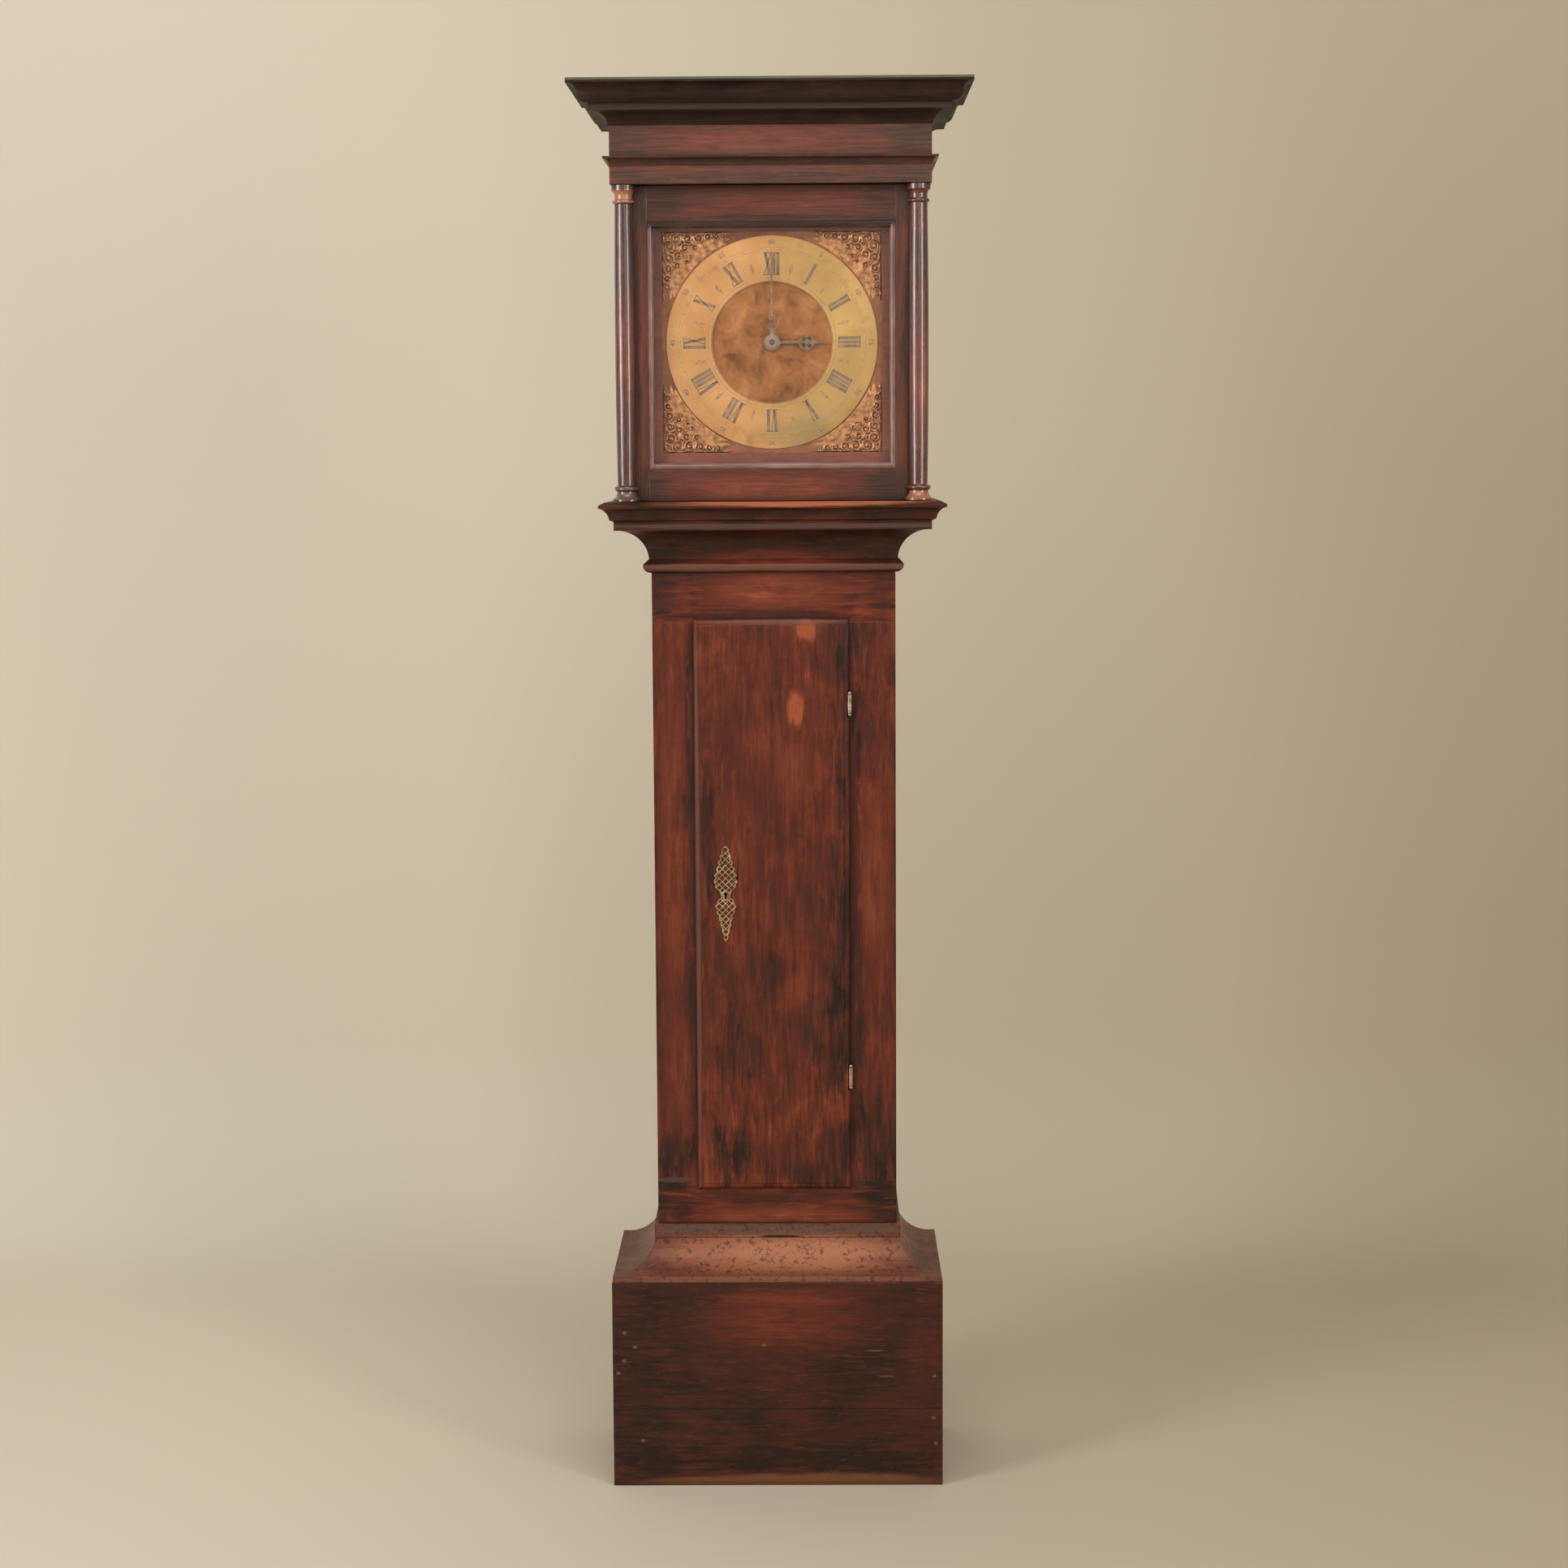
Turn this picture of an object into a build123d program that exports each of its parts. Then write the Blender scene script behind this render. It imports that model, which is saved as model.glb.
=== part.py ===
from build123d import *
from math import acos, asin, atan2, cos, degrees, pi, radians, sin, sqrt
import os

# Thirty-hour longcase clock in oak, with a square brass dial. Millimetres, +Z up, front towards -Y.
# The origin is the middle of the footprint of the whole clock, on the floor.

# Trunk
trunk_width = 319
trunk_depth = 180
trunk_height = 936.4
trunk_frame_thickness = 20
trunk_side_thickness = 16
trunk_foot_drop = 60
backboard_thickness = 12

# Base
base_width = 438
base_height = 276.5
base_board_thickness = 18
base_moulding_height = 66
base_moulding_fillet = 18.6
base_moulding_fillet_projection = 5
base_moulding_foot = 8.2
base_moulding_rebate = 1.3
base_moulding_back_bearing = 24

# Trunk door, hung on its right edge, and the opening it covers
door_opening_width = 189
trunk_bottom_rail_height = 122.8
trunk_top_rail_height = 65.8
door_centre_x = -3.5
door_lip_overlap = 8
door_lip_below = 9.2
door_lip_above = 5.4
door_lip_thickness = 6.8
door_field_rise = 1.2
door_field_margin = 8.6
door_ovolo_radius = 5.6
door_tongue_thickness = 11
door_tongue_clearance = 1.5

# Trunk door hinges
hinge_height = 24
hinge_low_rise = 142.7
hinge_high_drop = 107.1
hinge_stand_off = 4
hinge_knuckle_radius = 3.1
hinge_pin_radius = 1.4
hinge_knuckle_gap = 0.3
hinge_leaf_thickness = 1.5
hinge_leaf_width = 7
hinge_finial_radius = 2.9
hinge_finial_rise = 2.2
running_clearance = 0.05

# Lock and escutcheon
lock_from_opening_edge = 32.4
lock_rise = 389.7
lock_case_width = 52
lock_case_height = 62
lock_case_depth = 12
lock_plate_wall = 2
lock_bolt_height = 12
lock_bolt_depth = 5
lock_bolt_length = 34
lock_bolt_throw = 10
slide_clearance = 0.3
escutcheon_height = 130
escutcheon_width = 32
escutcheon_thickness = 1.8
keyhole_radius = 2.6
keyhole_slot_width = 2.4
keyhole_slot_length = 8

# Throat moulding under the hood
throat_height = 64.6
throat_astragal_height = 18.2
throat_astragal_projection = 10.7
throat_neck_projection = 3
throat_fillet = 8.4

# Hood carcass
hood_width = 411
hood_lining = 8.5
hood_side_thickness = 12
hood_rail_thickness = 20
hood_bottom_rail_height = 28.3
hood_door_height = 402.5
hood_door_gap = 0.7
hood_top_drop = 12
backboard_top_drop = 10
hood_top_board_thickness = 10
hood_travel = 240
base_frame_bevel = 4
hood_ledge_projection = 18.7
hood_ledge_fillet = 4
hood_ledge_step = 5.5

# Mouldings of the hood
architrave_height = 22.8
string_height = 11.5
string_projection = 8.5
string_foot = 1
string_step = 0.8
string_fillet = 2.4
frieze_height = 39
cornice_height = 54
cornice_projection = 51
cornice_top_fillet = 6
cornice_soffit = 5.5
cornice_cyma_height = 22.5
cornice_cyma_depth = 15
cornice_mid_fillet = 9
cornice_mid_step = 5.5

# Hood door, dial mask and columns
hood_door_setback = 16.7
hood_door_thickness = 18
hood_door_stile_width = 29.3
hood_door_bottom_rail_height = 41.7
hood_door_top_rail_height = 45.5
glass_ledge = 4.5
bead_width = 7.5
bead_setback = 1
bead_round = 5
glass_thickness = 2.2
glass_setback = 11.6
glass_edge_clearance = 0.3
column_corner_inset = 16.7
column_radius = 13
column_waist = 11.6
capital_radius = 15.6
capital_height = 24
column_foot_radius = 18.5
column_foot_height = 20.5
door_pin_radius = 2
door_pin_length = 16
door_pin_depth = 7
mask_thickness = 6
mask_clearance = 1
sight_half_width = 143
sight_half_height = 142.2

# Dial and hands
dial_centre_rise = 203.7
dial_size = 293
dial_thickness = 2.5
dial_foot_radius = 4
ring_outer_radius = 136.5
ring_inner_radius = 77.8
ring_thickness = 2
spandrel_size = 90
spandrel_thickness = 3
spandrel_margin = 1.3
spandrel_lobe_radius = 5.5
hand_thickness = 1.5
hand_gap = 2
hour_hand_length = 73
minute_hand_length = 118
hand_hub_radius = 10.5

# Movement cage
cage_width = 124
plate_thickness = 3.5
cage_bottom_drop = 96.2
cage_inside_height = 173.5
bar_thickness = 4
bar_width = 30
bay_depth = 46
dial_to_bar = 20.8
post_size = 8
post_inset = 6
seatboard_thickness = 20
rope_plane_setback = 30
arbor_radius = 2.5
pivot_radius = 1.2
main_pivot_radius = 1.5
main_arbor_radius = 3.5
arbor_shake = 0.3
pivot_end_gap = 0.2

# Going train
great_wheel_teeth = 72
centre_pinion_leaves = 12
great_module = 1.15
centre_wheel_teeth = 60
third_pinion_leaves = 8
centre_module = 0.9
third_wheel_teeth = 56
escape_pinion_leaves = 7
third_module = 0.8
escape_teeth = 30
escape_radius = 18
escape_tooth_depth = 3.5
pallet_arbor_rise = 26
third_bearing = 135
wheel_thickness = 2
main_wheel_thickness = 3
pinion_length = 8

# Motion work
cannon_teeth = 36
motion_distance = 39
hour_wheel_teeth = 72
minute_pinion_leaves = 6
cannon_pipe_radius = 3.5
hour_pipe_radius = 5.2
centre_front_radius = 2
minute_stud_radius = 1

# Striking train
strike_wheel_teeth = 78
hoop_pinion_leaves = 6
strike_module = 1.05
hoop_wheel_teeth = 60
warning_pinion_leaves = 6
hoop_module = 0.85
warning_wheel_teeth = 48
fly_pinion_leaves = 6
warning_module = 0.75
hoop_offset_x = 8
warning_offset_x = -14
fly_offset_x = 14
fly_radius = 15
fly_length = 18
fly_vane_thickness = 1
hammer_pins = 13
hammer_pin_circle = 36.5
count_wheel_teeth = 48
report_pinion_leaves = 8
count_module = 1
count_disc_radius = 21
count_notch_depth = 3.5

# Bell and hammer
bell_radius = 48
bell_thickness = 2.5
bell_height = 40
bell_rim_rise = 11.5
hammer_head_radius = 6
hammer_head_height = 13
hammer_gap = 2.5
hammer_shank = 4
hammer_tail_gap = 2
hammer_arm_rise = 4.5
hammer_swing = 6

# Pendulum
pendulum_length = 994
pendulum_standoff = 19
rod_radius = 2
bob_radius = 50
bob_thickness = 24
crutch_length = 124
suspension_width = 8
suspension_length = 14
suspension_clip_height = 7
suspension_clip_thickness = 3
rod_tail = 22
rating_nut_radius = 7
rating_nut_height = 6
cock_width = 24
cock_foot_length = 24

# Rope, driving weight and ring weight
rope_radius = 2.5
pulley_radius = 30
pulley_width = 12
pulley_flange_rise = 3
rope_gap = 0.3
sheave_radius = 20
sheave_width = 9
sheave_flange_rise = 2
sheave_drop = 344
weight_radius = 30
weight_height = 180
weight_hook_length = 18
stirrup_thickness = 2
stirrup_width = 14
stirrup_drop = 36
stirrup_bridge = 6
ring_loop_drop = 994
ring_weight_radius = 16
ring_weight_hole = 6.5
ring_weight_thickness = 14
rope_slot_width = 18

# Places worked out from the sizes above
hood_overhang = (hood_width - trunk_width) / 2
base_overhang = (base_width - trunk_width) / 2
total_depth = trunk_depth + hood_overhang + cornice_projection
back_y = total_depth / 2
trunk_front = back_y - trunk_depth
hood_front = trunk_front - hood_overhang
base_front = trunk_front - base_overhang
backboard_front = back_y - backboard_thickness
trunk_half = trunk_width / 2
hood_half = hood_width / 2
base_half = base_width / 2
hood_side_half = hood_half - hood_lining
hood_inner_half = hood_side_half - hood_side_thickness
hood_rail_front = hood_front + hood_lining
hood_rail_back = hood_rail_front + hood_rail_thickness
throat_bottom = base_height + trunk_height
throat_top = throat_bottom + throat_height
hood_rail_top = throat_top + hood_bottom_rail_height
hood_door_bottom = hood_rail_top + hood_door_gap
hood_door_top = hood_door_bottom + hood_door_height
hood_top_rail_bottom = hood_door_top + hood_door_gap
string_bottom = hood_top_rail_bottom + architrave_height
cornice_bottom = string_bottom + string_height + frieze_height
hood_carcass_top = cornice_bottom + cornice_height - hood_top_drop
hood_door_front = hood_front + hood_door_setback
hood_door_back = hood_door_front + hood_door_thickness
column_x = hood_half - column_corner_inset
glass_opening_half_width = column_x - hood_door_stile_width
glass_opening_bottom = hood_door_bottom + hood_door_bottom_rail_height
glass_opening_top = hood_door_top - hood_door_top_rail_height
dial_centre_z = hood_door_bottom + dial_centre_rise
sight_bottom = dial_centre_z - sight_half_height
sight_top = dial_centre_z + sight_half_height
mask_front = hood_door_back + mask_clearance
mask_back = mask_front + mask_thickness
dial_front = mask_back + mask_clearance
dial_back = dial_front + dial_thickness
ring_front = dial_front - ring_thickness
front_bar_y = dial_back + dial_to_bar
middle_bar_y = front_bar_y + bar_thickness + bay_depth
rear_bar_y = middle_bar_y + bar_thickness + bay_depth
cage_front = front_bar_y
cage_back = rear_bar_y + bar_thickness
cage_bottom = dial_centre_z - cage_bottom_drop
cage_floor = cage_bottom + plate_thickness
cage_ceiling = cage_floor + cage_inside_height
cage_top = cage_ceiling + plate_thickness
bell_rim_z = cage_top + bell_rim_rise
cage_half = cage_width / 2
going_rope_y = front_bar_y + rope_plane_setback
strike_rope_y = going_rope_y + 2 * sheave_radius
rope_mid_y = (going_rope_y + strike_rope_y) / 2
hammer_x = cage_half - post_inset
great_distance = (great_wheel_teeth + centre_pinion_leaves) / 2 * great_module
great_z = dial_centre_z - great_distance
third_distance = (centre_wheel_teeth + third_pinion_leaves) / 2 * centre_module
third_x = third_distance * cos(radians(third_bearing))
third_z = dial_centre_z + third_distance * sin(radians(third_bearing))
escape_distance = (third_wheel_teeth + escape_pinion_leaves) / 2 * third_module
escape_z = third_z + sqrt(escape_distance**2 - third_x**2)
pallet_z = escape_z + pallet_arbor_rise
hoop_distance = (strike_wheel_teeth + hoop_pinion_leaves) / 2 * strike_module
hoop_x = hoop_offset_x
hoop_z = great_z + sqrt(hoop_distance**2 - hoop_offset_x**2)
warning_distance = (hoop_wheel_teeth + warning_pinion_leaves) / 2 * hoop_module
warning_x = hoop_x + warning_offset_x
warning_z = hoop_z + sqrt(warning_distance**2 - warning_offset_x**2)
fly_distance = (warning_wheel_teeth + fly_pinion_leaves) / 2 * warning_module
fly_x = warning_x + fly_offset_x
fly_z = warning_z + sqrt(fly_distance**2 - fly_offset_x**2)
count_z = great_z + (count_wheel_teeth + report_pinion_leaves) / 2 * count_module
pendulum_y = cage_back + pendulum_standoff
seatboard_bottom = cage_bottom - seatboard_thickness
sheave_z = seatboard_bottom - sheave_drop
ring_loop_z = seatboard_bottom - ring_loop_drop
door_opening_bottom = base_height + trunk_bottom_rail_height
door_opening_top = throat_bottom - trunk_top_rail_height
hinge_low_z = door_opening_bottom + hinge_low_rise
hinge_high_z = door_opening_top - hinge_high_drop
lock_x = door_centre_x - door_opening_width / 2 + lock_from_opening_edge
lock_z = door_opening_bottom + lock_rise
door_left = door_centre_x - door_opening_width / 2 - door_lip_overlap
door_right = door_centre_x + door_opening_width / 2 + door_lip_overlap
door_bottom = door_opening_bottom - door_lip_below
door_top = door_opening_top + door_lip_above
door_field_front = trunk_front - door_lip_thickness - door_field_rise
hinge_y = trunk_front - hinge_stand_off
bolt_y = trunk_front + door_tongue_thickness + lock_case_depth / 2
backboard_top = hood_carcass_top - backboard_top_drop


def block(x, y, z):
    """A box from three pairs of limits."""
    sizes = (x[1] - x[0], y[1] - y[0], z[1] - z[0])
    middle = ((x[0] + x[1]) / 2, (y[0] + y[1]) / 2, (z[0] + z[1]) / 2)
    return Pos(*middle) * Box(*sizes)


def mirrored(shape):
    """The same piece on the other side of the clock."""
    return mirror(shape, about=Plane.YZ)


def rod(x, z, y, radius):
    """A round bar along Y between two depths."""
    return Pos(x, (y[0] + y[1]) / 2, z) * Rot(90, 0, 0) * Cylinder(radius, y[1] - y[0])


def pin(x, y, z, radius):
    """A round bar along Z between two heights."""
    return Pos(x, y, (z[0] + z[1]) / 2) * Cylinder(radius, z[1] - z[0])


def upright(face, y):
    """A face drawn in (x, z), raised into a plate between two depths."""
    plane = Plane(origin=(0, y[0], 0), x_dir=(1, 0, 0), z_dir=(0, -1, 0))
    return extrude(plane * face, amount=y[1] - y[0], dir=(0, 1, 0))


def edge_run(points, arcs=()):
    """A closed outline through points; an arc bulges past the middle of the side it is named for."""
    edges = []
    for i, start in enumerate(points):
        end = points[(i + 1) % len(points)]
        if i in dict(arcs):
            edges.append(ThreePointArc(start, dict(arcs)[i], end))
        else:
            edges.append(Line(start, end))
    return make_face(edges)


def mitred_set(face, half_width, front, back, inner, outer):
    """Front and two side lengths of a moulding drawn as (outwards, up), mitred at the front corners."""
    low, high = face.bounding_box().min.Y - 1, face.bounding_box().max.Y + 1
    tip, root = half_width + outer, half_width + inner
    front_plane = Plane(origin=(0, front, 0), x_dir=(0, -1, 0), z_dir=(-1, 0, 0))
    front_run = extrude(front_plane * face, amount=tip + 1, both=True)
    front_wedge = Polygon((-tip, front - outer), (tip, front - outer), (root, front - inner),
                          (-root, front - inner))
    front_piece = front_run & extrude(Pos(0, 0, low) * front_wedge, amount=high - low)
    side_plane = Plane(origin=(half_width, 0, 0), x_dir=(1, 0, 0), z_dir=(0, -1, 0))
    side_run = Pos(0, back, 0) * extrude(side_plane * face, amount=back - front + outer + 1)
    side_wedge = Polygon((root, front - inner), (tip, front - outer), (tip, back), (root, back))
    side_piece = side_run & extrude(Pos(0, 0, low) * side_wedge, amount=high - low)
    return [front_piece, side_piece, mirrored(side_piece)]


def hollow_arc(start, end, depth=0.29):
    """The middle of an arc that sinks between two points, to the left of the way from start to end."""
    dx, dy = end[0] - start[0], end[1] - start[1]
    return ((start[0] + end[0]) / 2 - dy * depth, (start[1] + end[1]) / 2 + dx * depth)


# Case


def backboard():
    """One long board from the floor to the top of the hood."""
    return [block((-trunk_half, trunk_half), (backboard_front, back_y), (0, backboard_top))]


def backboard_spurs():
    """Strips that widen the backboard behind the hood and behind the base."""
    hood_spur = block((trunk_half, hood_inner_half - mask_clearance), (backboard_front, back_y),
                      (throat_top, backboard_top))
    base_spur = block((trunk_half, base_half - base_board_thickness), (backboard_front, back_y),
                      (0, base_height))
    return [hood_spur, mirrored(hood_spur), base_spur, mirrored(base_spur)]


def trunk_sides():
    """Side boards that run down into the base and up as cheeks for the seatboard."""
    side = block((trunk_half - trunk_side_thickness, trunk_half),
                 (trunk_front + trunk_frame_thickness, backboard_front),
                 (base_height - trunk_foot_drop, seatboard_bottom))
    return [side, mirrored(side)]


def hinge_heights():
    """Lowest point of each trunk door hinge."""
    return [hinge_low_z - hinge_height / 2, hinge_high_z - hinge_height / 2]


def trunk_front_frame():
    """Two rails right across and two stiles between them, round the door opening."""
    depth = (trunk_front, trunk_front + trunk_frame_thickness)
    left_edge = door_centre_x - door_opening_width / 2
    right_edge = door_centre_x + door_opening_width / 2
    top_rail = block((-trunk_half, trunk_half), depth, (door_opening_top, throat_top))
    bottom_rail = block((-trunk_half, trunk_half), depth,
                        (base_height - trunk_foot_drop, door_opening_bottom))
    left_stile = block((-trunk_half, left_edge), depth, (door_opening_bottom, door_opening_top))
    right_stile = block((right_edge, trunk_half), depth, (door_opening_bottom, door_opening_top))
    for z in hinge_heights():
        right_stile -= block((right_edge - 1, door_right + 1),
                             (trunk_front - 1, trunk_front + hinge_leaf_thickness), (z, z + hinge_height))
    mortise_half = lock_bolt_height / 2 + 1
    left_stile -= block((left_edge - lock_bolt_throw - 2, left_edge + 1),
                        (bolt_y - lock_bolt_depth / 2 - 1, bolt_y + lock_bolt_depth),
                        (lock_z - mortise_half, lock_z + mortise_half))
    return [top_rail, bottom_rail, left_stile, right_stile]


def throat_profile():
    """Astragal at the foot, a deep cove and a fillet on which the hood rests."""
    astragal_mid = throat_bottom + throat_astragal_height / 2
    neck = (throat_neck_projection, throat_bottom + throat_astragal_height)
    lip = (hood_overhang, throat_top - throat_fillet)
    cove_middle = (lip[0] - (lip[0] - neck[0]) * cos(pi / 4), neck[1] + (lip[1] - neck[1]) * sin(pi / 4))
    points = [(0, throat_bottom), (throat_astragal_projection, astragal_mid - 1),
              (throat_astragal_projection, astragal_mid + 2), neck, lip, (hood_overhang, throat_top),
              (0, throat_top)]
    astragal_low = (throat_astragal_projection * 0.75, throat_bottom + throat_astragal_height * 0.18)
    return edge_run(points, {0: astragal_low, 3: cove_middle}.items())


def throat_moulding():
    """Three mitred lengths round the top of the trunk."""
    return mitred_set(throat_profile(), trunk_half, trunk_front, back_y, 0, hood_overhang)


def rope_slots(z):
    """Two slots through which the four strands of the rope pass."""
    reach = (going_rope_y - rope_slot_width / 2, strike_rope_y + rope_slot_width / 2)
    slot = block((pulley_radius - rope_slot_width / 2, pulley_radius + rope_slot_width / 2), reach, z)
    return slot + mirrored(slot)


def seatboard():
    """Board across the cheeks that carries the movement."""
    board = block((-trunk_half, trunk_half), (cage_front - 12, cage_back + 4),
                  (seatboard_bottom, cage_bottom))
    return [board - rope_slots((seatboard_bottom - 1, cage_bottom + 1))]


def base_front_board():
    """Plain front board of the base."""
    return [block((-base_half, base_half), (base_front, base_front + base_board_thickness),
                  (0, base_height))]


def base_sides():
    """Plain side boards of the base."""
    side = block((base_half - base_board_thickness, base_half),
                 (base_front + base_board_thickness, back_y), (0, base_height))
    return [side, mirrored(side)]


def base_moulding():
    """Cove moulding that joins the trunk to the wider base, in three mitred lengths."""
    top = base_height + base_moulding_height
    rise = top - base_moulding_fillet
    start = (base_moulding_fillet_projection - 1, rise)
    end = (base_overhang - base_moulding_rebate - 3, base_height + base_moulding_foot)
    middle = (end[0] - (end[0] - start[0]) * cos(pi / 4), start[1] - (start[1] - end[1]) * sin(pi / 4))
    points = [(0, top), (0, base_height + base_moulding_back_bearing), (base_overhang / 2, base_height),
              (base_overhang - base_moulding_rebate, base_height),
              (base_overhang - base_moulding_rebate, base_height + base_moulding_foot), end, start,
              (base_moulding_fillet_projection, rise), (base_moulding_fillet_projection, top)]
    face = edge_run(points, {5: middle}.items())
    return mitred_set(face, trunk_half, trunk_front, back_y, 0, base_overhang)


def knuckle(z):
    """A stretch of hinge knuckle between two heights."""
    return pin(door_right, hinge_y, z, hinge_knuckle_radius)


def hinge_case_leaves():
    """Leaf let into the stile, its two knuckles, the pin and a ball at each end."""
    leaves = []
    third = hinge_height / 3
    edge = door_centre_x + door_opening_width / 2
    for z in hinge_heights():
        leaf = block((edge, door_right + 1), (trunk_front, trunk_front + hinge_leaf_thickness),
                     (z, z + hinge_height))
        for low, high in ((z, z + third), (z + 2 * third, z + hinge_height)):
            leaf += knuckle((low, high))
            leaf += block((door_right - 1, door_right + 1), (hinge_y, trunk_front + 1), (low, high))
        ends = (z - hinge_finial_rise, z + hinge_height + hinge_finial_rise)
        leaf += pin(door_right, hinge_y, ends, hinge_pin_radius)
        for end in ends:
            leaf += Pos(door_right, hinge_y, end) * Sphere(hinge_finial_radius)
        leaves.append(leaf)
    return leaves


def hinge_door_leaves():
    """Middle knuckle and the leaf let into the back of the door's lip."""
    leaves = []
    third = hinge_height / 3
    edge = door_right - hinge_leaf_width - hinge_knuckle_radius
    for z in hinge_heights():
        middle = (z + third + hinge_knuckle_gap, z + 2 * third - hinge_knuckle_gap)
        leaf = knuckle(middle)
        leaf += block((edge, door_right), (hinge_y, hinge_y + hinge_leaf_thickness), middle)
        leaf -= pin(door_right, hinge_y, (z, z + hinge_height), hinge_pin_radius + running_clearance)
        leaves.append(leaf)
    return leaves


def keyhole(y):
    """Round and slot of a keyhole, cut between two depths."""
    slot = block((lock_x - keyhole_slot_width / 2, lock_x + keyhole_slot_width / 2), y,
                 (lock_z - keyhole_slot_length, lock_z))
    return rod(lock_x, lock_z, y, keyhole_radius) + slot


def trunk_door():
    """Plank door with an ovolo lip that overlaps its opening."""
    lip = block((door_left, door_right), (trunk_front - door_lip_thickness, trunk_front),
                (door_bottom, door_top))
    lip = fillet(lip.faces().sort_by(Axis.Y)[0].edges(), door_ovolo_radius)
    field = block((door_left + door_field_margin, door_right - door_field_margin),
                  (door_field_front, trunk_front),
                  (door_bottom + door_field_margin, door_top - door_field_margin))
    half_tongue = door_opening_width / 2 - door_tongue_clearance
    tongue = block((door_centre_x - half_tongue, door_centre_x + half_tongue),
                   (trunk_front, trunk_front + door_tongue_thickness),
                   (door_opening_bottom + door_tongue_clearance, door_opening_top - door_tongue_clearance))
    door = lip + field + tongue - keyhole((door_field_front - 1, trunk_front + door_tongue_thickness + 1))
    leaf_reach = hinge_leaf_width + hinge_knuckle_radius
    for z in hinge_heights():
        top = z + hinge_height + 2 * hinge_finial_radius
        door -= block((door_right - hinge_knuckle_radius - 0.4, door_right + 1),
                      (door_field_front - 1, trunk_front + 1), (z - 2 * hinge_finial_radius, top))
        door -= block((door_right - leaf_reach, door_right + 1), (hinge_y, hinge_y + hinge_leaf_thickness),
                      (z + hinge_height / 3 + hinge_knuckle_gap,
                       z + 2 * hinge_height / 3 - hinge_knuckle_gap))
    return [door]


def door_escutcheon():
    """Pierced brass plate round the keyhole, a tall leaf with a lobed edge."""
    half_high, half_wide = escutcheon_height / 2, escutcheon_width / 2
    lobe = 3.2
    inner_wide = half_wide - lobe
    bow = (half_high**2 + inner_wide**2) / (2 * inner_wide)
    plate = (Pos(inner_wide - bow, 0) * Circle(bow)) & (Pos(bow - inner_wide, 0) * Circle(bow))
    lobes = 11
    for i in range(lobes):
        height = half_high * 0.9 * (2 * (i + 0.5) / lobes - 1)
        reach = sqrt(bow**2 - height**2) - bow + inner_wide
        plate += [Pos(reach, height) * Circle(lobe), Pos(-reach, height) * Circle(lobe)]
    for height in (0.28, 0.5, 0.7):
        for way in (-1, 1):
            place = height * half_high * way
            spread = (1 - height) * half_wide * 0.55
            plate -= [Pos(spread, place) * Circle(lobe * 0.6), Pos(-spread, place) * Circle(lobe * 0.6)]
    back = door_field_front
    solid = upright(Pos(lock_x, lock_z) * plate, (back - escutcheon_thickness, back))
    return [solid - keyhole((back - escutcheon_thickness - 1, back + 1))]


def door_lock_case():
    """Iron box of the lock on the back of the door, with a channel for its bolt."""
    back = trunk_front + door_tongue_thickness
    x = (lock_x - lock_case_width / 2, lock_x + lock_case_width / 2)
    case = block(x, (back, back + lock_case_depth), (lock_z - lock_case_height / 2,
                                                     lock_z + lock_case_height / 2))
    half_bolt = lock_bolt_height / 2 + slide_clearance
    half_deep = lock_bolt_depth / 2 + slide_clearance
    channel = block((x[0] - 1, x[1] - lock_plate_wall), (bolt_y - half_deep, bolt_y + half_deep),
                    (lock_z - half_bolt, lock_z + half_bolt))
    hole = rod(lock_x, lock_z, (back - 1, bolt_y), keyhole_radius)
    return [case - channel - hole]


def door_lock_bolt():
    """Bolt of the lock, drawn back as in an unlocked door."""
    left = lock_x - lock_case_width / 2
    return [block((left, left + lock_bolt_length),
                  (bolt_y - lock_bolt_depth / 2, bolt_y + lock_bolt_depth / 2),
                  (lock_z - lock_bolt_height / 2, lock_z + lock_bolt_height / 2))]


# Hood


def hood_sides():
    """Side boards, cut back beside the door so that it can swing."""
    points = [(hood_rail_back, throat_top), (back_y, throat_top), (back_y, hood_carcass_top),
              (hood_rail_back, hood_carcass_top), (hood_rail_back, hood_top_rail_bottom),
              (mask_front, hood_top_rail_bottom), (mask_front, hood_rail_top),
              (hood_rail_back, hood_rail_top)]
    plane = Plane(origin=(hood_inner_half, 0, 0), x_dir=(0, 1, 0), z_dir=(1, 0, 0))
    side = extrude(plane * Polygon(*points), amount=hood_side_thickness)
    return [side, mirrored(side)]


def pivot_hole(z):
    """Hole for a pin of the hood door, on the axis of the right column."""
    return pin(column_x, hood_door_front, z, door_pin_radius + running_clearance)


def hood_front_rails():
    """Bottom rail and deep top rail that join the sides and hold the door's pins."""
    depth = (hood_rail_front, hood_rail_back)
    bottom = block((-hood_side_half, hood_side_half), depth, (throat_top, hood_rail_top))
    top = block((-hood_side_half, hood_side_half), depth, (hood_top_rail_bottom, hood_carcass_top))
    bottom -= pivot_hole((hood_rail_top - door_pin_depth - 1, hood_rail_top + 1))
    top -= pivot_hole((hood_top_rail_bottom - 1, hood_top_rail_bottom + door_pin_depth + 1))
    return [bottom, top]


def hood_frieze():
    """Thin boards that face the top of the hood, in three mitred lengths."""
    face = edge_run([(-hood_lining, hood_top_rail_bottom), (0, hood_top_rail_bottom),
                     (0, hood_carcass_top), (-hood_lining, hood_carcass_top)])
    return mitred_set(face, hood_half, hood_front, back_y, -hood_lining, 0)


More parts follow.
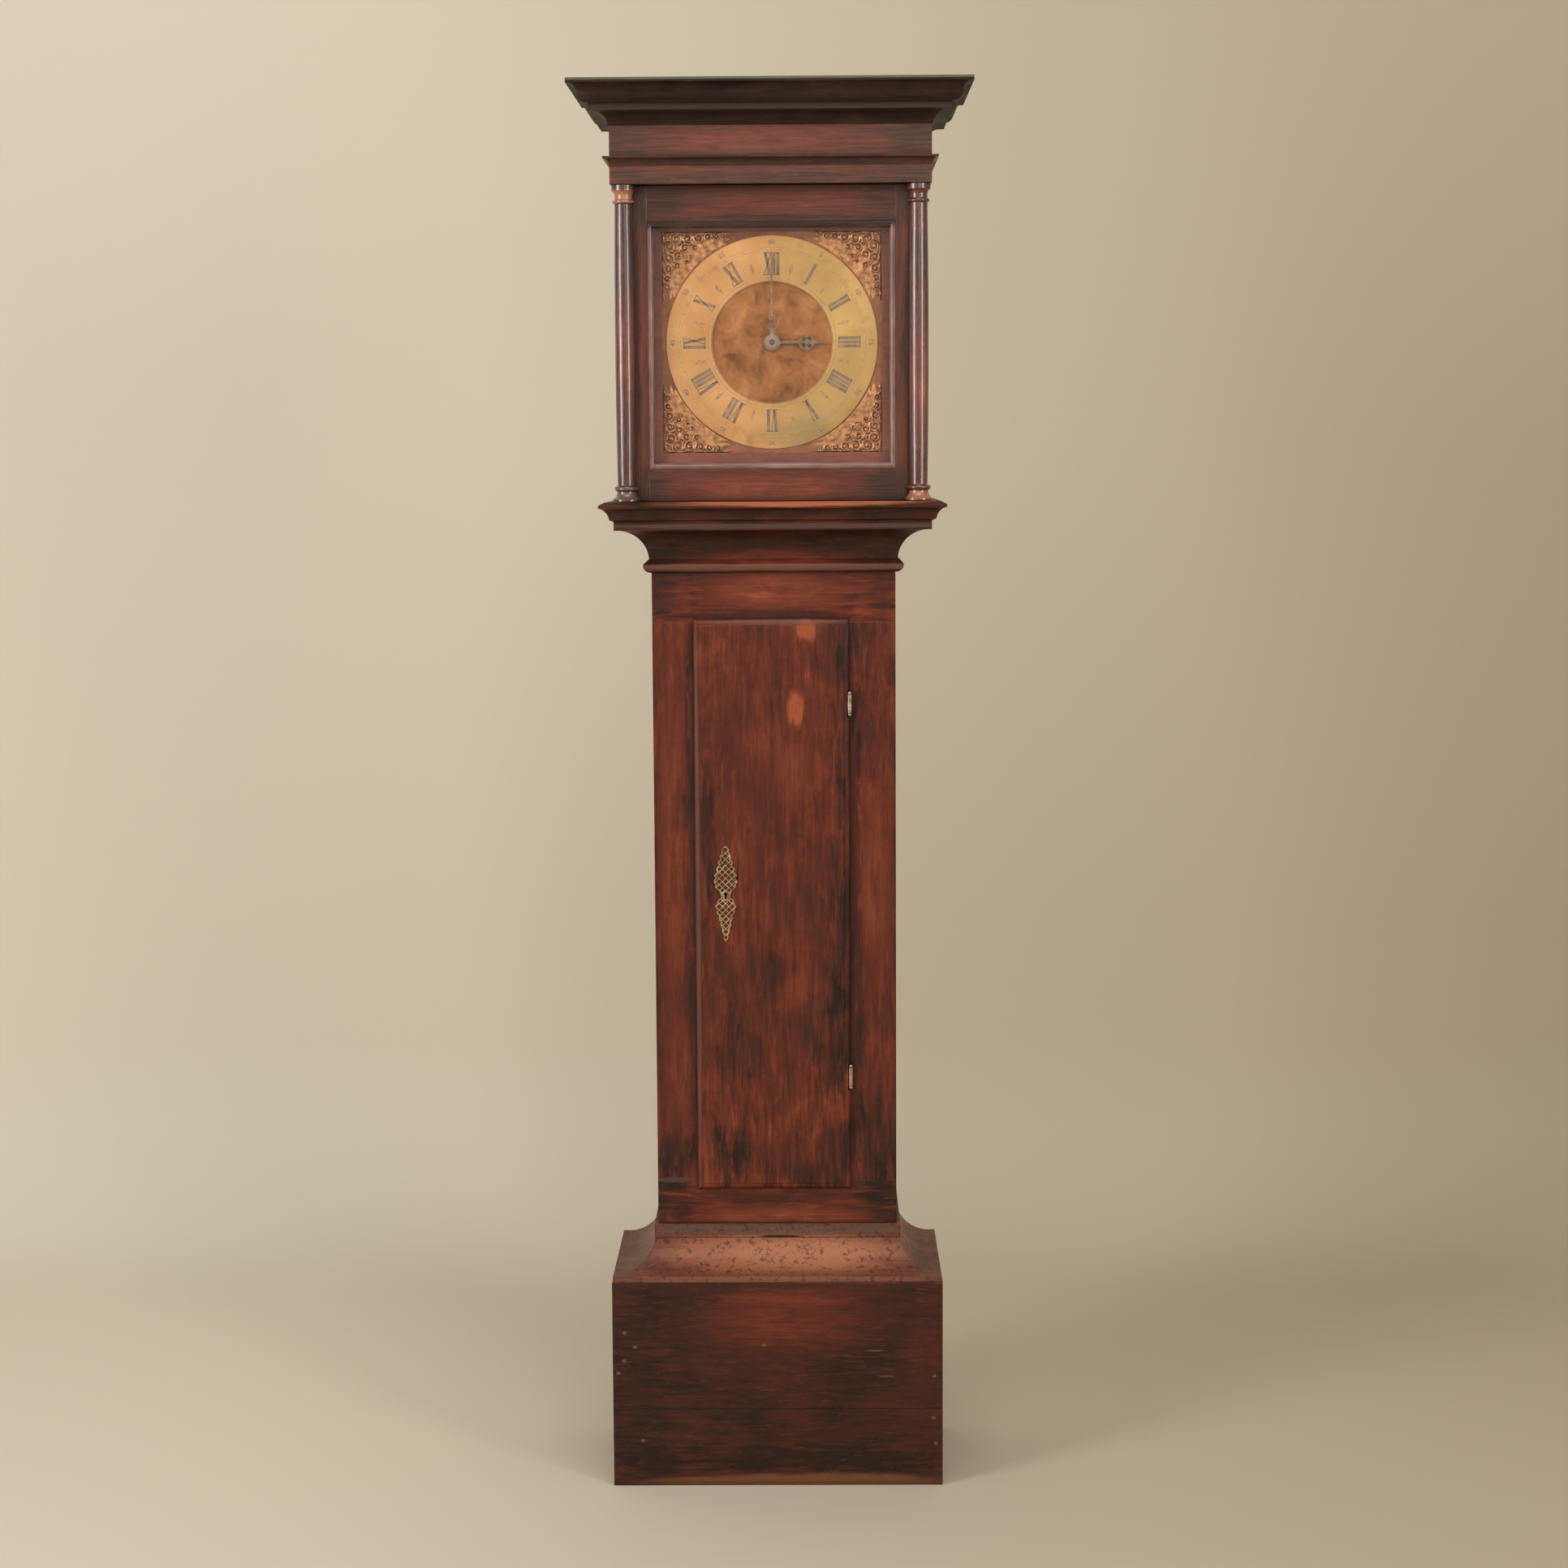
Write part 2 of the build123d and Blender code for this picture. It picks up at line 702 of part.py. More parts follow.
def hood_base_moulding():
    """Ledge moulding round the foot of the hood."""
    top = hood_rail_top
    tip = hood_ledge_projection
    start = (hood_ledge_step, throat_top + hood_ledge_step)
    end = (tip - 1.5, top - base_frame_bevel - hood_ledge_fillet)
    points = [(-hood_lining, throat_top), (0, throat_top), (0, throat_top + 3), start, end,
              (tip, end[1]), (tip, top - base_frame_bevel), (tip - base_frame_bevel * 2, top),
              (-hood_lining, top)]
    face = edge_run(points, {3: hollow_arc(start, end, 0.15)}.items())
    return mitred_set(face, hood_half, hood_front, back_y, -hood_lining, tip)


def hood_string_moulding():
    """Small cove moulding between architrave and frieze."""
    top = string_bottom + string_height
    start, end = (string_foot, string_bottom), (string_projection - string_step, top - string_fillet)
    points = [(0, string_bottom), start, end, (string_projection, end[1]), (string_projection, top),
              (0, top)]
    face = edge_run(points, {1: hollow_arc(start, end, 0.2)}.items())
    return mitred_set(face, hood_half, hood_front, back_y, 0, string_projection)


def hood_cornice():
    """Cornice of cove, fillet, cyma and top fillet, in three mitred lengths."""
    top = cornice_bottom + cornice_height
    tip = cornice_projection
    under = top - cornice_top_fillet
    cyma_top = (tip - cornice_soffit, under)
    cyma_foot = (cyma_top[0] - cornice_cyma_depth, under - cornice_cyma_height)
    fillet_out = cyma_foot[0] - cornice_mid_step
    cyma_middle = ((cyma_top[0] + cyma_foot[0]) / 2, (cyma_top[1] + cyma_foot[1]) / 2)
    cove_top = (fillet_out - cornice_mid_step, cyma_foot[1] - cornice_mid_fillet)
    cove_foot = (1.2, cornice_bottom)
    points = [(0, cornice_bottom), cove_foot, cove_top, (fillet_out, cove_top[1]),
              (fillet_out, cyma_foot[1]), cyma_foot, cyma_middle, cyma_top, (tip, under), (tip, top),
              (0, top)]
    arcs = {1: hollow_arc(cove_foot, cove_top, 0.2), 5: hollow_arc(cyma_foot, cyma_middle, -0.14),
            6: hollow_arc(cyma_middle, cyma_top, 0.14)}
    return mitred_set(edge_run(points, arcs.items()), hood_half, hood_front, back_y, 0, tip)


def hood_top_board():
    """Board that closes the hood inside the cornice."""
    return [block((-hood_half, hood_half), (hood_front, back_y),
                  (hood_carcass_top, hood_carcass_top + hood_top_board_thickness))]


def dial_mask():
    """Thin board behind the door that frames the dial."""
    board = block((-hood_inner_half, hood_inner_half), (mask_front, mask_back),
                  (hood_rail_top, hood_top_rail_bottom))
    sight = block((-sight_half_width, sight_half_width), (mask_front - 1, mask_back + 1),
                  (sight_bottom, sight_top))
    return [board - sight]


def hood_door_frame():
    """Two stiles and two rails, with a ledge behind for the glass."""
    glass_back = hood_door_front + glass_setback + glass_thickness
    depth = (hood_door_front, hood_door_back)
    half = glass_opening_half_width
    stile = block((half, column_x), depth, (hood_door_bottom, hood_door_top))
    stile += block((half - glass_ledge, half), (glass_back, hood_door_back),
                   (hood_door_bottom, hood_door_top))
    inner = half - glass_ledge
    pieces = [stile, mirrored(stile)]
    for low, high, ledge in ((hood_door_bottom, glass_opening_bottom, (glass_opening_bottom,
                              glass_opening_bottom + glass_ledge)),
                             (glass_opening_top, hood_door_top, (glass_opening_top - glass_ledge,
                              glass_opening_top))):
        rail = block((-half, half), (hood_door_front, glass_back), (low, high))
        rail += block((-inner, inner), (glass_back, hood_door_back), (low, high))
        rail += block((-inner, inner), (glass_back, hood_door_back), ledge)
        pieces.append(rail)
    return pieces


def hood_door_bead():
    """Rounded bead that holds the glass, in four mitred strips."""
    front, back = hood_door_front + bead_setback, hood_door_front + glass_setback
    low, high = glass_opening_bottom, glass_opening_top
    half, w = glass_opening_half_width, bead_width
    middle_z = (low + high) / 2
    frame = block((-half, half), (front, back), (low, high))
    frame -= block((w - half, half - w), (front - 1, back + 1), (low + w, high - w))
    inner = [e for e in frame.faces().sort_by(Axis.Y)[0].edges()
             if abs(e.center().X) < half - w / 2 and abs(e.center().Z - middle_z) < (high - low - w) / 2]
    frame = fillet(inner, bead_round)
    side = (high - low) / 2
    bottom = Polygon((-half, low), (half, low), (half - side, low + side), (side - half, low + side))
    right = Polygon((half, low), (half, high), (half - side, high - side), (half - side, low + side))
    strips = []
    for wedge in (bottom, right):
        strips.append(frame & upright(wedge, (front - 1, back + 1)))
    strips.append(mirror(strips[0], about=Plane.XY.offset(middle_z)))
    strips.append(mirrored(strips[1]))
    return strips


def hood_door_glass():
    """Pane of the hood door."""
    reach = glass_opening_half_width - glass_edge_clearance
    front = hood_door_front + glass_setback
    return [block((-reach, reach), (front, front + glass_thickness),
                  (glass_opening_bottom + glass_edge_clearance, glass_opening_top - glass_edge_clearance))]


def column_outline():
    """Half outline of a turned column: base, swelling shaft, capital."""
    low, high = hood_door_bottom, hood_door_top
    shaft_low, shaft_high = low + column_foot_height, high - capital_height
    shaft_middle = (column_radius, (shaft_low + shaft_high) / 2)
    foot_ring = column_radius + 1.6
    return [Line((0, low), (column_foot_radius, low)),
            Line((column_foot_radius, low), (column_foot_radius, low + 3)),
            ThreePointArc((column_foot_radius, low + 3), (column_radius + 0.9, low + 7),
                          (column_radius - 0.5, low + 13)),
            Line((column_radius - 0.5, low + 13), (foot_ring, low + 14)),
            ThreePointArc((foot_ring, low + 14), (foot_ring + 1, low + 16.5), (foot_ring, low + 19)),
            Line((foot_ring, low + 19), (column_waist, shaft_low)),
            ThreePointArc((column_waist, shaft_low), shaft_middle, (column_waist, shaft_high)),
            Line((column_waist, shaft_high), (column_radius + 0.4, shaft_high + 1)),
            ThreePointArc((column_radius + 0.4, shaft_high + 1), (column_radius + 1.4, shaft_high + 3),
                          (column_radius + 0.4, shaft_high + 5)),
            Line((column_radius + 0.4, shaft_high + 5), (column_waist, shaft_high + 6)),
            Line((column_waist, shaft_high + 6), (column_waist, shaft_high + 11)),
            ThreePointArc((column_waist, shaft_high + 11), (capital_radius - 2.6, shaft_high + 15),
                          (capital_radius, shaft_high + 17)),
            Line((capital_radius, shaft_high + 17), (capital_radius, high)),
            Line((capital_radius, high), (0, high)), Line((0, high), (0, low))]


def hood_columns():
    """Three-quarter columns that clasp the front corners of the hood door."""
    outline = Plane.XZ * make_face(column_outline())
    column = Pos(column_x, hood_door_front, 0) * revolve(outline, Axis.Z)
    corner = block((column_x - 2 * column_foot_radius, column_x),
                   (hood_door_front, hood_door_front + 2 * column_foot_radius),
                   (hood_door_bottom - 1, hood_door_top + 1))
    plain = column - corner
    drilled = plain
    for z in pivot_spans():
        drilled -= pin(column_x, hood_door_front, z, door_pin_radius)
    return [drilled, mirrored(plain)]


def pivot_spans():
    """Heights that the lower and the upper pin of the hood door run between."""
    inside = door_pin_length - door_pin_depth
    return [(hood_door_bottom - door_pin_depth, hood_door_bottom + inside),
            (hood_door_top - inside, hood_door_top + door_pin_depth)]


def hood_door_pivots():
    """Iron pins on which the hood door turns."""
    corner = block((column_x - 2 * door_pin_radius, column_x), (hood_door_front, hood_door_back),
                   (hood_door_bottom, hood_door_top))
    return [pin(column_x, hood_door_front, z, door_pin_radius) - corner for z in pivot_spans()]


# Dial and hands


def dial_plate():
    """Brass plate with four feet that are pinned to the cage."""
    half = dial_size / 2
    plate = block((-half, half), (dial_front, dial_back), (dial_centre_z - half, dial_centre_z + half))
    plate -= rod(0, dial_centre_z, (dial_front - 1, dial_back + 1), hour_pipe_radius + 0.8)
    foot_x = cage_half - post_inset
    for x in (-foot_x, foot_x):
        for z in (cage_floor + 2 * dial_foot_radius, cage_ceiling - 2 * dial_foot_radius):
            plate += rod(x, z, (dial_back, cage_front), dial_foot_radius)
    return [plate]


def chapter_ring():
    """Flat brass ring for the hours."""
    ring = Circle(ring_outer_radius) - Circle(ring_inner_radius)
    return [upright(Pos(0, dial_centre_z) * ring, (ring_front, dial_front))]


def dial_spandrels():
    """Cast brass corners that fill the square outside the ring."""
    reach = sight_half_width - spandrel_margin
    inner = reach - spandrel_size
    corner = Polygon((inner, reach), (reach, inner), (reach, reach))
    lobes = [Pos(reach - t * spandrel_size, reach - spandrel_lobe_radius) * Circle(spandrel_lobe_radius)
             for t in (0.95, 0.72)]
    corner += lobes + [Pos(p.center().Y, p.center().X) * Circle(spandrel_lobe_radius) for p in lobes]
    corner -= Circle(ring_outer_radius + spandrel_margin)
    for along, across in ((0.16, 0.16), (0.5, 0.14), (0.14, 0.5), (0.3, 0.3)):
        corner -= Pos(reach - along * spandrel_size, reach - across * spandrel_size) * Circle(2.6)
    plate = upright(Pos(0, dial_centre_z) * corner, (dial_front - spandrel_thickness, dial_front))
    level = Plane.XY.offset(dial_centre_z)
    return [plate, mirrored(plate), mirror(plate, about=level), mirrored(mirror(plate, about=level))]


def minute_hand():
    """Long steel hand, pierced near its hub, pointing to twelve."""
    back = ring_front - hand_gap - 2 * hand_thickness - 0.5
    length = minute_hand_length
    shape = Circle(hand_hub_radius * 0.75)
    shape += Polygon((-2.2, 0), (2.2, 0), (1.7, length * 0.36), (-1.7, length * 0.36))
    shape += Polygon((-1.7, length * 0.3), (1.7, length * 0.3), (1.1, length * 0.94), (0, length),
                     (-1.1, length * 0.94))
    for height, radius in ((0.17, 5.6), (0.27, 4.4)):
        shape += Pos(0, length * height) * Circle(radius)
        shape -= Pos(0, length * height) * (Circle(radius * 0.62) - Rectangle(2, 4 * radius))
    shape -= Circle(centre_front_radius + running_clearance)
    return [upright(Pos(0, dial_centre_z) * shape, (back - hand_thickness, back))]


def hour_hand():
    """Short steel hand with a pierced loop, pointing to three."""
    back = ring_front - hand_gap + 0.5
    length = hour_hand_length
    shape = Circle(hand_hub_radius) + Polygon((0, -2.4), (length * 0.5, -1.8), (length * 0.5, 1.8), (0, 2.4))
    loop = length * 0.61
    shape += Pos(loop, 0) * Circle(10.5)
    for side in (-1, 1):
        shape -= Pos(loop - 3.6, 4.3 * side) * Circle(3)
        shape -= Pos(loop + 3.6, 4.3 * side) * Circle(3)
    shape += Polygon((loop, -3.4), (length * 0.8, -2.2), (length, 0), (length * 0.8, 2.2), (loop, 3.4))
    shape -= Circle(cannon_pipe_radius + running_clearance)
    return [upright(Pos(0, dial_centre_z) * shape, (back - hand_thickness, back))]


# Wheelwork


def toothed(teeth, module, phase, tip=0.6, root=1.0, leaf=False):
    """Outline of a wheel or pinion with plain tapered teeth, one tooth centred on the phase angle."""
    pitch = 360 / teeth
    radius = teeth * module / 2
    at_root, at_tip = (0.2, 0.1) if leaf else (0.27, 0.11)
    points = []
    for i in range(teeth):
        middle = phase + i * pitch
        for share, r in ((-at_root, radius - root * module), (-at_tip, radius + tip * module),
                         (at_tip, radius + tip * module), (at_root, radius - root * module)):
            angle = radians(middle + share * pitch)
            points.append((r * cos(angle), r * sin(angle)))
    return Polygon(*points)


def crossings(inner, outer, spokes=4, spoke_width=3.4):
    """Openings between the spokes of a crossed-out wheel, as flat-sided pieces."""
    gaps = []
    for i in range(spokes):
        middle = (i + 0.5) * 360 / spokes
        near = 180 / spokes - degrees(asin(spoke_width / 2 / inner))
        far = 180 / spokes - degrees(asin(spoke_width / 2 / outer))
        steps = 5
        rim = [(outer, middle - far + 2 * far * k / steps) for k in range(steps + 1)]
        hub = [(inner, middle + near), (inner, middle - near)]
        gaps.append(Polygon(*[(r * cos(radians(a)), r * sin(radians(a))) for r, a in rim + hub]))
    return gaps


def wheel(x, z, y, teeth, module, phase, hub=6, rim=3.2):
    """A crossed-out brass wheel between two depths, its rim counted in modules."""
    outline = toothed(teeth, module, phase)
    outline -= crossings(hub, (teeth / 2 - rim) * module)
    return upright(Pos(x, z) * outline, y)


def pinion(x, z, y, leaves, module, phase):
    """A steel pinion between two depths."""
    return upright(Pos(x, z) * toothed(leaves, module, phase, leaf=True), y)


def gap_phase(leaves, towards):
    """Phase that turns a gap between two leaves towards a direction."""
    return towards + 180 / leaves


def bearing(x0, z0, x1, z1):
    """Direction from one arbor to another, in degrees."""
    return degrees(atan2(z1 - z0, x1 - x0))


def bay(bar_y):
    """Limits of the space between a bar and the next, and of the pivots that reach into both."""
    low = bar_y + bar_thickness
    high = low + bay_depth
    pivot_low = bar_y + bar_thickness / 2 + pivot_end_gap
    pivot_high = high + bar_thickness / 2 - pivot_end_gap
    return low + arbor_shake, high - arbor_shake, pivot_low, pivot_high


def arbor(x, z, bar_y, radius=arbor_radius, pivot=pivot_radius):
    """A steel arbor across a bay, with its two pivots."""
    low, high, pivot_low, pivot_high = bay(bar_y)
    return rod(x, z, (low, high), radius) + rod(x, z, (pivot_low, pivot_high), pivot)


def rope_pulley(x, z, y_middle, axle):
    """A flanged pulley for the rope, on an axle along Y."""
    groove = pulley_radius - rope_radius - rope_gap
    flange = groove + 2 * rope_radius + pulley_flange_rise / 3
    half_groove = rope_radius + 2 * rope_gap
    half = pulley_width / 2
    body = rod(x, z, (y_middle - half, y_middle + half), flange)
    core = rod(x, z, (y_middle - half_groove, y_middle + half_groove), groove)
    band = rod(x, z, (y_middle - half_groove, y_middle + half_groove), flange + 1)
    body = body - (band - core)
    return body - rod(x, z, (y_middle - half - 1, y_middle + half + 1), axle) if axle else body


great_wheel_y = front_bar_y + bar_thickness + 4
centre_pinion_y = great_wheel_y - 2
third_wheel_y = great_wheel_y + 8
escape_wheel_y = third_wheel_y + 14
centre_wheel_y = middle_bar_y - 10
strike_wheel_y = rear_bar_y - 10
hoop_wheel_y = strike_wheel_y - 11
warning_wheel_y = hoop_wheel_y + 6
count_wheel_y = rear_bar_y + bar_thickness + 2


def going_great_wheel():
    """Great wheel with the rope pulley fixed to its arbor."""
    solid = wheel(0, great_z, (great_wheel_y, great_wheel_y + main_wheel_thickness), great_wheel_teeth,
                  great_module, 90, hub=9)
    solid += rope_pulley(0, great_z, going_rope_y, 0)
    solid += arbor(0, great_z, front_bar_y, main_arbor_radius, main_pivot_radius)
    return [solid]


def centre_wheel():
    """Centre wheel, its pinion and the long arbor that carries the hands."""
    solid = wheel(0, dial_centre_z, (centre_wheel_y, centre_wheel_y + wheel_thickness), centre_wheel_teeth,
                  centre_module, bearing(0, dial_centre_z, third_x, third_z), hub=5)
    solid += pinion(0, dial_centre_z, (centre_pinion_y, centre_pinion_y + pinion_length),
                    centre_pinion_leaves, great_module, gap_phase(centre_pinion_leaves, -90))
    solid += arbor(0, dial_centre_z, front_bar_y)
    low = bay(front_bar_y)[0]
    front = ring_front - hand_gap - 3 * hand_thickness - 2
    return [solid + rod(0, dial_centre_z, (front, low), centre_front_radius)]


def third_wheel():
    """Third wheel and pinion."""
    solid = wheel(third_x, third_z, (third_wheel_y, third_wheel_y + wheel_thickness), third_wheel_teeth,
                  third_module, bearing(third_x, third_z, 0, escape_z), hub=5)
    solid += pinion(third_x, third_z, (centre_wheel_y - 3, centre_wheel_y + 5), third_pinion_leaves,
                    centre_module, gap_phase(third_pinion_leaves, bearing(third_x, third_z, 0,
                                                                          dial_centre_z)))
    return [solid + arbor(third_x, third_z, front_bar_y)]


def escape_wheel():
    """Escape wheel with raked teeth, and its pinion."""
    pitch = 360 / escape_teeth
    points = []
    for i in range(escape_teeth):
        start = i * pitch
        for share, r in ((0, escape_radius - escape_tooth_depth), (0.1, escape_radius),
                         (0.18, escape_radius), (0.62, escape_radius - escape_tooth_depth)):
            angle = radians(start + share * pitch)
            points.append((r * cos(angle), r * sin(angle)))
    outline = Polygon(*points) - crossings(5, escape_radius - escape_tooth_depth - 2.4, 4, 2.6)
    solid = upright(Pos(0, escape_z) * outline, (escape_wheel_y, escape_wheel_y + wheel_thickness))
    solid += pinion(0, escape_z, (third_wheel_y - 3, third_wheel_y + 5), escape_pinion_leaves,
                    third_module, gap_phase(escape_pinion_leaves, bearing(0, escape_z, third_x, third_z)))
    return [solid + arbor(0, escape_z, front_bar_y, 1.7)]


def pallet_anchor():
    """Anchor with two pallets, its arbor and the crutch that drives the pendulum."""
    reach = escape_radius + 1.8
    tip_x, tip_z = reach * sin(pi / 4), reach * cos(pi / 4) - pallet_arbor_rise
    right = [(0, 4), (10, 3), (tip_x + 3, tip_z + 9), (tip_x + 4.5, tip_z + 4), (tip_x, tip_z),
             (tip_x - 0.8, tip_z + 2.5), (9, -4.5), (0, -4)]
    half = Polygon(*right)
    anchor = half + mirror(half, about=Plane.YZ)
    solid = upright(Pos(0, pallet_z) * anchor, (escape_wheel_y - 1, escape_wheel_y + wheel_thickness + 1))
    low = bay(front_bar_y)[0]
    crutch_y = pendulum_y - 12
    solid += rod(0, pallet_z, (low, crutch_y + 6), 2)
    solid += rod(0, pallet_z, (front_bar_y + 2, crutch_y + 9), pivot_radius)
    foot = pallet_z - crutch_length
    solid += block((-2.5, 2.5), (crutch_y, crutch_y + 2), (foot, pallet_z))
    fork = block((-5, 5), (crutch_y, pendulum_y + 5), (foot - 4, foot))
    gap = rod_radius + rope_gap
    fork -= block((-gap, gap), (pendulum_y - gap, pendulum_y + 6), (foot - 5, foot + 1))
    return [solid + fork]


def pendulum_rod():
    """Suspension spring, iron rod and rating nut."""
    axis_z = pallet_z
    bob_foot = axis_z - pendulum_length - bob_radius
    width = (-suspension_width / 2, suspension_width / 2)
    half_clip = suspension_clip_thickness / 2
    clip_top = axis_z - suspension_length + 1
    spring = block(width, (pendulum_y - 0.2, pendulum_y + 0.2), (axis_z - suspension_length, axis_z + 1))
    clip = block(width, (pendulum_y - half_clip, pendulum_y + half_clip),
                 (clip_top - suspension_clip_height, clip_top))
    stem = pin(0, pendulum_y, (bob_foot - rod_tail, clip_top - suspension_clip_thickness), rod_radius)
    nut = extrude(RegularPolygon(rating_nut_radius, 6), amount=rating_nut_height)
    return [spring + clip + stem + Pos(0, pendulum_y, bob_foot + 1 - rating_nut_height) * nut]


def pendulum_bob():
    """Lens-shaped lead bob, resting on the rating nut."""
    centre = pallet_z - pendulum_length
    half = bob_thickness / 2
    lens = [Line((0, -half), (bob_radius * 0.2, -half)),
            ThreePointArc((bob_radius * 0.2, -half), (bob_radius * 0.75, -half * 0.62),
                          (bob_radius, -half * 0.16)),
            Line((bob_radius, -half * 0.16), (bob_radius, half * 0.16)),
            ThreePointArc((bob_radius, half * 0.16), (bob_radius * 0.75, half * 0.62),
                          (bob_radius * 0.2, half)),
            Line((bob_radius * 0.2, half), (0, half)), Line((0, half), (0, -half))]
    body = Rot(90, 0, 0) * revolve(Plane.XZ * make_face(lens), Axis.Z)
    body = Pos(0, pendulum_y, centre) * body
    hole = pin(0, pendulum_y, (centre - bob_radius - 1, centre + bob_radius + 1),
               rod_radius + running_clearance)
    reach = rating_nut_radius + 1
    seat = block((-reach, reach), (pendulum_y - reach, pendulum_y + reach),
                 (centre - bob_radius - 1, centre - bob_radius + 1))
    return [body - hole - seat]


def pendulum_cock():
    """Brass bracket on the top plate that holds the anchor's rear pivot and the pendulum."""
    shelf = cage_top
    half = cock_width / 2
    neck = suspension_width
    crutch_end = pendulum_y - 6
    solid = block((-half, half), (cage_back - cock_foot_length, pendulum_y + 6),
                  (shelf, shelf + plate_thickness))
    solid += block((-half, half), (crutch_end + 0.3, crutch_end + 4), (pallet_z - 8, shelf + 1))
    solid += block((-neck, neck), (crutch_end + 0.3, pendulum_y + 6), (pallet_z + 1.3, shelf + 1))
    return [solid - rod(0, pallet_z, (crutch_end - 1, crutch_end + 4), pivot_radius + running_clearance)]


def cannon_wheel():
    """Minute wheel of the motion work with the pipe that carries the minute hand."""
    module = 2 * motion_distance / (2 * cannon_teeth)
    y = front_bar_y - 6
    front = ring_front - hand_gap - 2 * hand_thickness - 0.5
    solid = upright(Pos(0, dial_centre_z) * toothed(cannon_teeth, module, 0), (y, y + wheel_thickness))
    solid += rod(0, dial_centre_z, (front, front_bar_y - 1), cannon_pipe_radius)
    return [solid - rod(0, dial_centre_z, (front - 1, front_bar_y), centre_front_radius
                        + running_clearance)]


def hour_wheel():
    """Large wheel of the motion work with the pipe that carries the hour hand."""
    module = 2 * motion_distance / (hour_wheel_teeth + minute_pinion_leaves)
    y = front_bar_y - 13
    front = ring_front - hand_gap + 0.5
    solid = wheel(0, dial_centre_z, (y, y + wheel_thickness), hour_wheel_teeth, module, 0, hub=9)
    solid += rod(0, dial_centre_z, (front, y + wheel_thickness), hour_pipe_radius)
    return [solid - rod(0, dial_centre_z, (front - 1, y + wheel_thickness + 1), cannon_pipe_radius
                        + running_clearance)]


def minute_wheel():
    """Intermediate wheel and pinion of the motion work, on a stud of the front bar."""
    fine = 2 * motion_distance / (2 * cannon_teeth)
    coarse = 2 * motion_distance / (hour_wheel_teeth + minute_pinion_leaves)
    y = front_bar_y - 6
    x = motion_distance
    solid = upright(Pos(x, dial_centre_z) * toothed(cannon_teeth, fine, gap_phase(cannon_teeth, 180)),
                    (y, y + wheel_thickness))
    solid += pinion(x, dial_centre_z, (y - 9, y), minute_pinion_leaves, coarse,
                    gap_phase(minute_pinion_leaves, 180))
    return [solid - rod(x, dial_centre_z, (y - 10, y + 5), minute_stud_radius + running_clearance)]


def strike_great_wheel():
    """Great wheel of the striking train with its hammer pins and the pinion of report."""
    solid = wheel(0, great_z, (strike_wheel_y, strike_wheel_y + main_wheel_thickness), strike_wheel_teeth,
                  strike_module, bearing(0, great_z, hoop_x, hoop_z), hub=9, rim=7)
    for i in range(hammer_pins):
        angle = 2 * pi * i / hammer_pins
        solid += rod(hammer_pin_circle * cos(angle), great_z + hammer_pin_circle * sin(angle),
                     (strike_wheel_y - 4, strike_wheel_y + 1), 1.2)
    solid += arbor(0, great_z, middle_bar_y, main_arbor_radius, main_pivot_radius)
    solid += rod(0, great_z, (rear_bar_y - 1, count_wheel_y + 4), main_pivot_radius)
    solid += pinion(0, great_z, (count_wheel_y - 1, count_wheel_y + 4), report_pinion_leaves,
                    count_module, gap_phase(report_pinion_leaves, 90))
    return [solid]


def strike_pulley():
    """Rope pulley that ratchets on the striking arbor when the clock is wound."""
    return [rope_pulley(0, great_z, strike_rope_y, main_arbor_radius + running_clearance)]


def hoop_wheel():
    """Hoop wheel of the striking train, one turn for each blow."""
    solid = wheel(hoop_x, hoop_z, (hoop_wheel_y, hoop_wheel_y + wheel_thickness), hoop_wheel_teeth,
                  hoop_module, bearing(hoop_x, hoop_z, warning_x, warning_z), hub=5)
    solid += pinion(hoop_x, hoop_z, (strike_wheel_y - 2, strike_wheel_y + 5), hoop_pinion_leaves,
                    strike_module, gap_phase(hoop_pinion_leaves, bearing(hoop_x, hoop_z, 0, great_z)))
    return [solid + arbor(hoop_x, hoop_z, middle_bar_y, 2)]


def warning_wheel():
    """Warning wheel of the striking train."""
    solid = wheel(warning_x, warning_z, (warning_wheel_y, warning_wheel_y + wheel_thickness),
                  warning_wheel_teeth, warning_module, bearing(warning_x, warning_z, fly_x, fly_z), hub=4.5)
    solid += pinion(warning_x, warning_z, (hoop_wheel_y - 2, hoop_wheel_y + 4), warning_pinion_leaves,
                    hoop_module, gap_phase(warning_pinion_leaves, bearing(warning_x, warning_z, hoop_x,
                                                                          hoop_z)))
    return [solid + arbor(warning_x, warning_z, middle_bar_y, 1.6)]


def fly():
    """Two-vaned fly that slows the striking."""
    solid = pinion(fly_x, fly_z, (warning_wheel_y - 2, warning_wheel_y + 4), fly_pinion_leaves,
                   warning_module, gap_phase(fly_pinion_leaves, bearing(fly_x, fly_z, warning_x,
                                                                        warning_z)))
    start = bay(middle_bar_y)[0] + 2
    solid += block((fly_x - fly_radius, fly_x + fly_radius), (start, start + fly_length),
                   (fly_z - fly_vane_thickness / 2, fly_z + fly_vane_thickness / 2))
    return [solid + arbor(fly_x, fly_z, middle_bar_y, 1.4)]


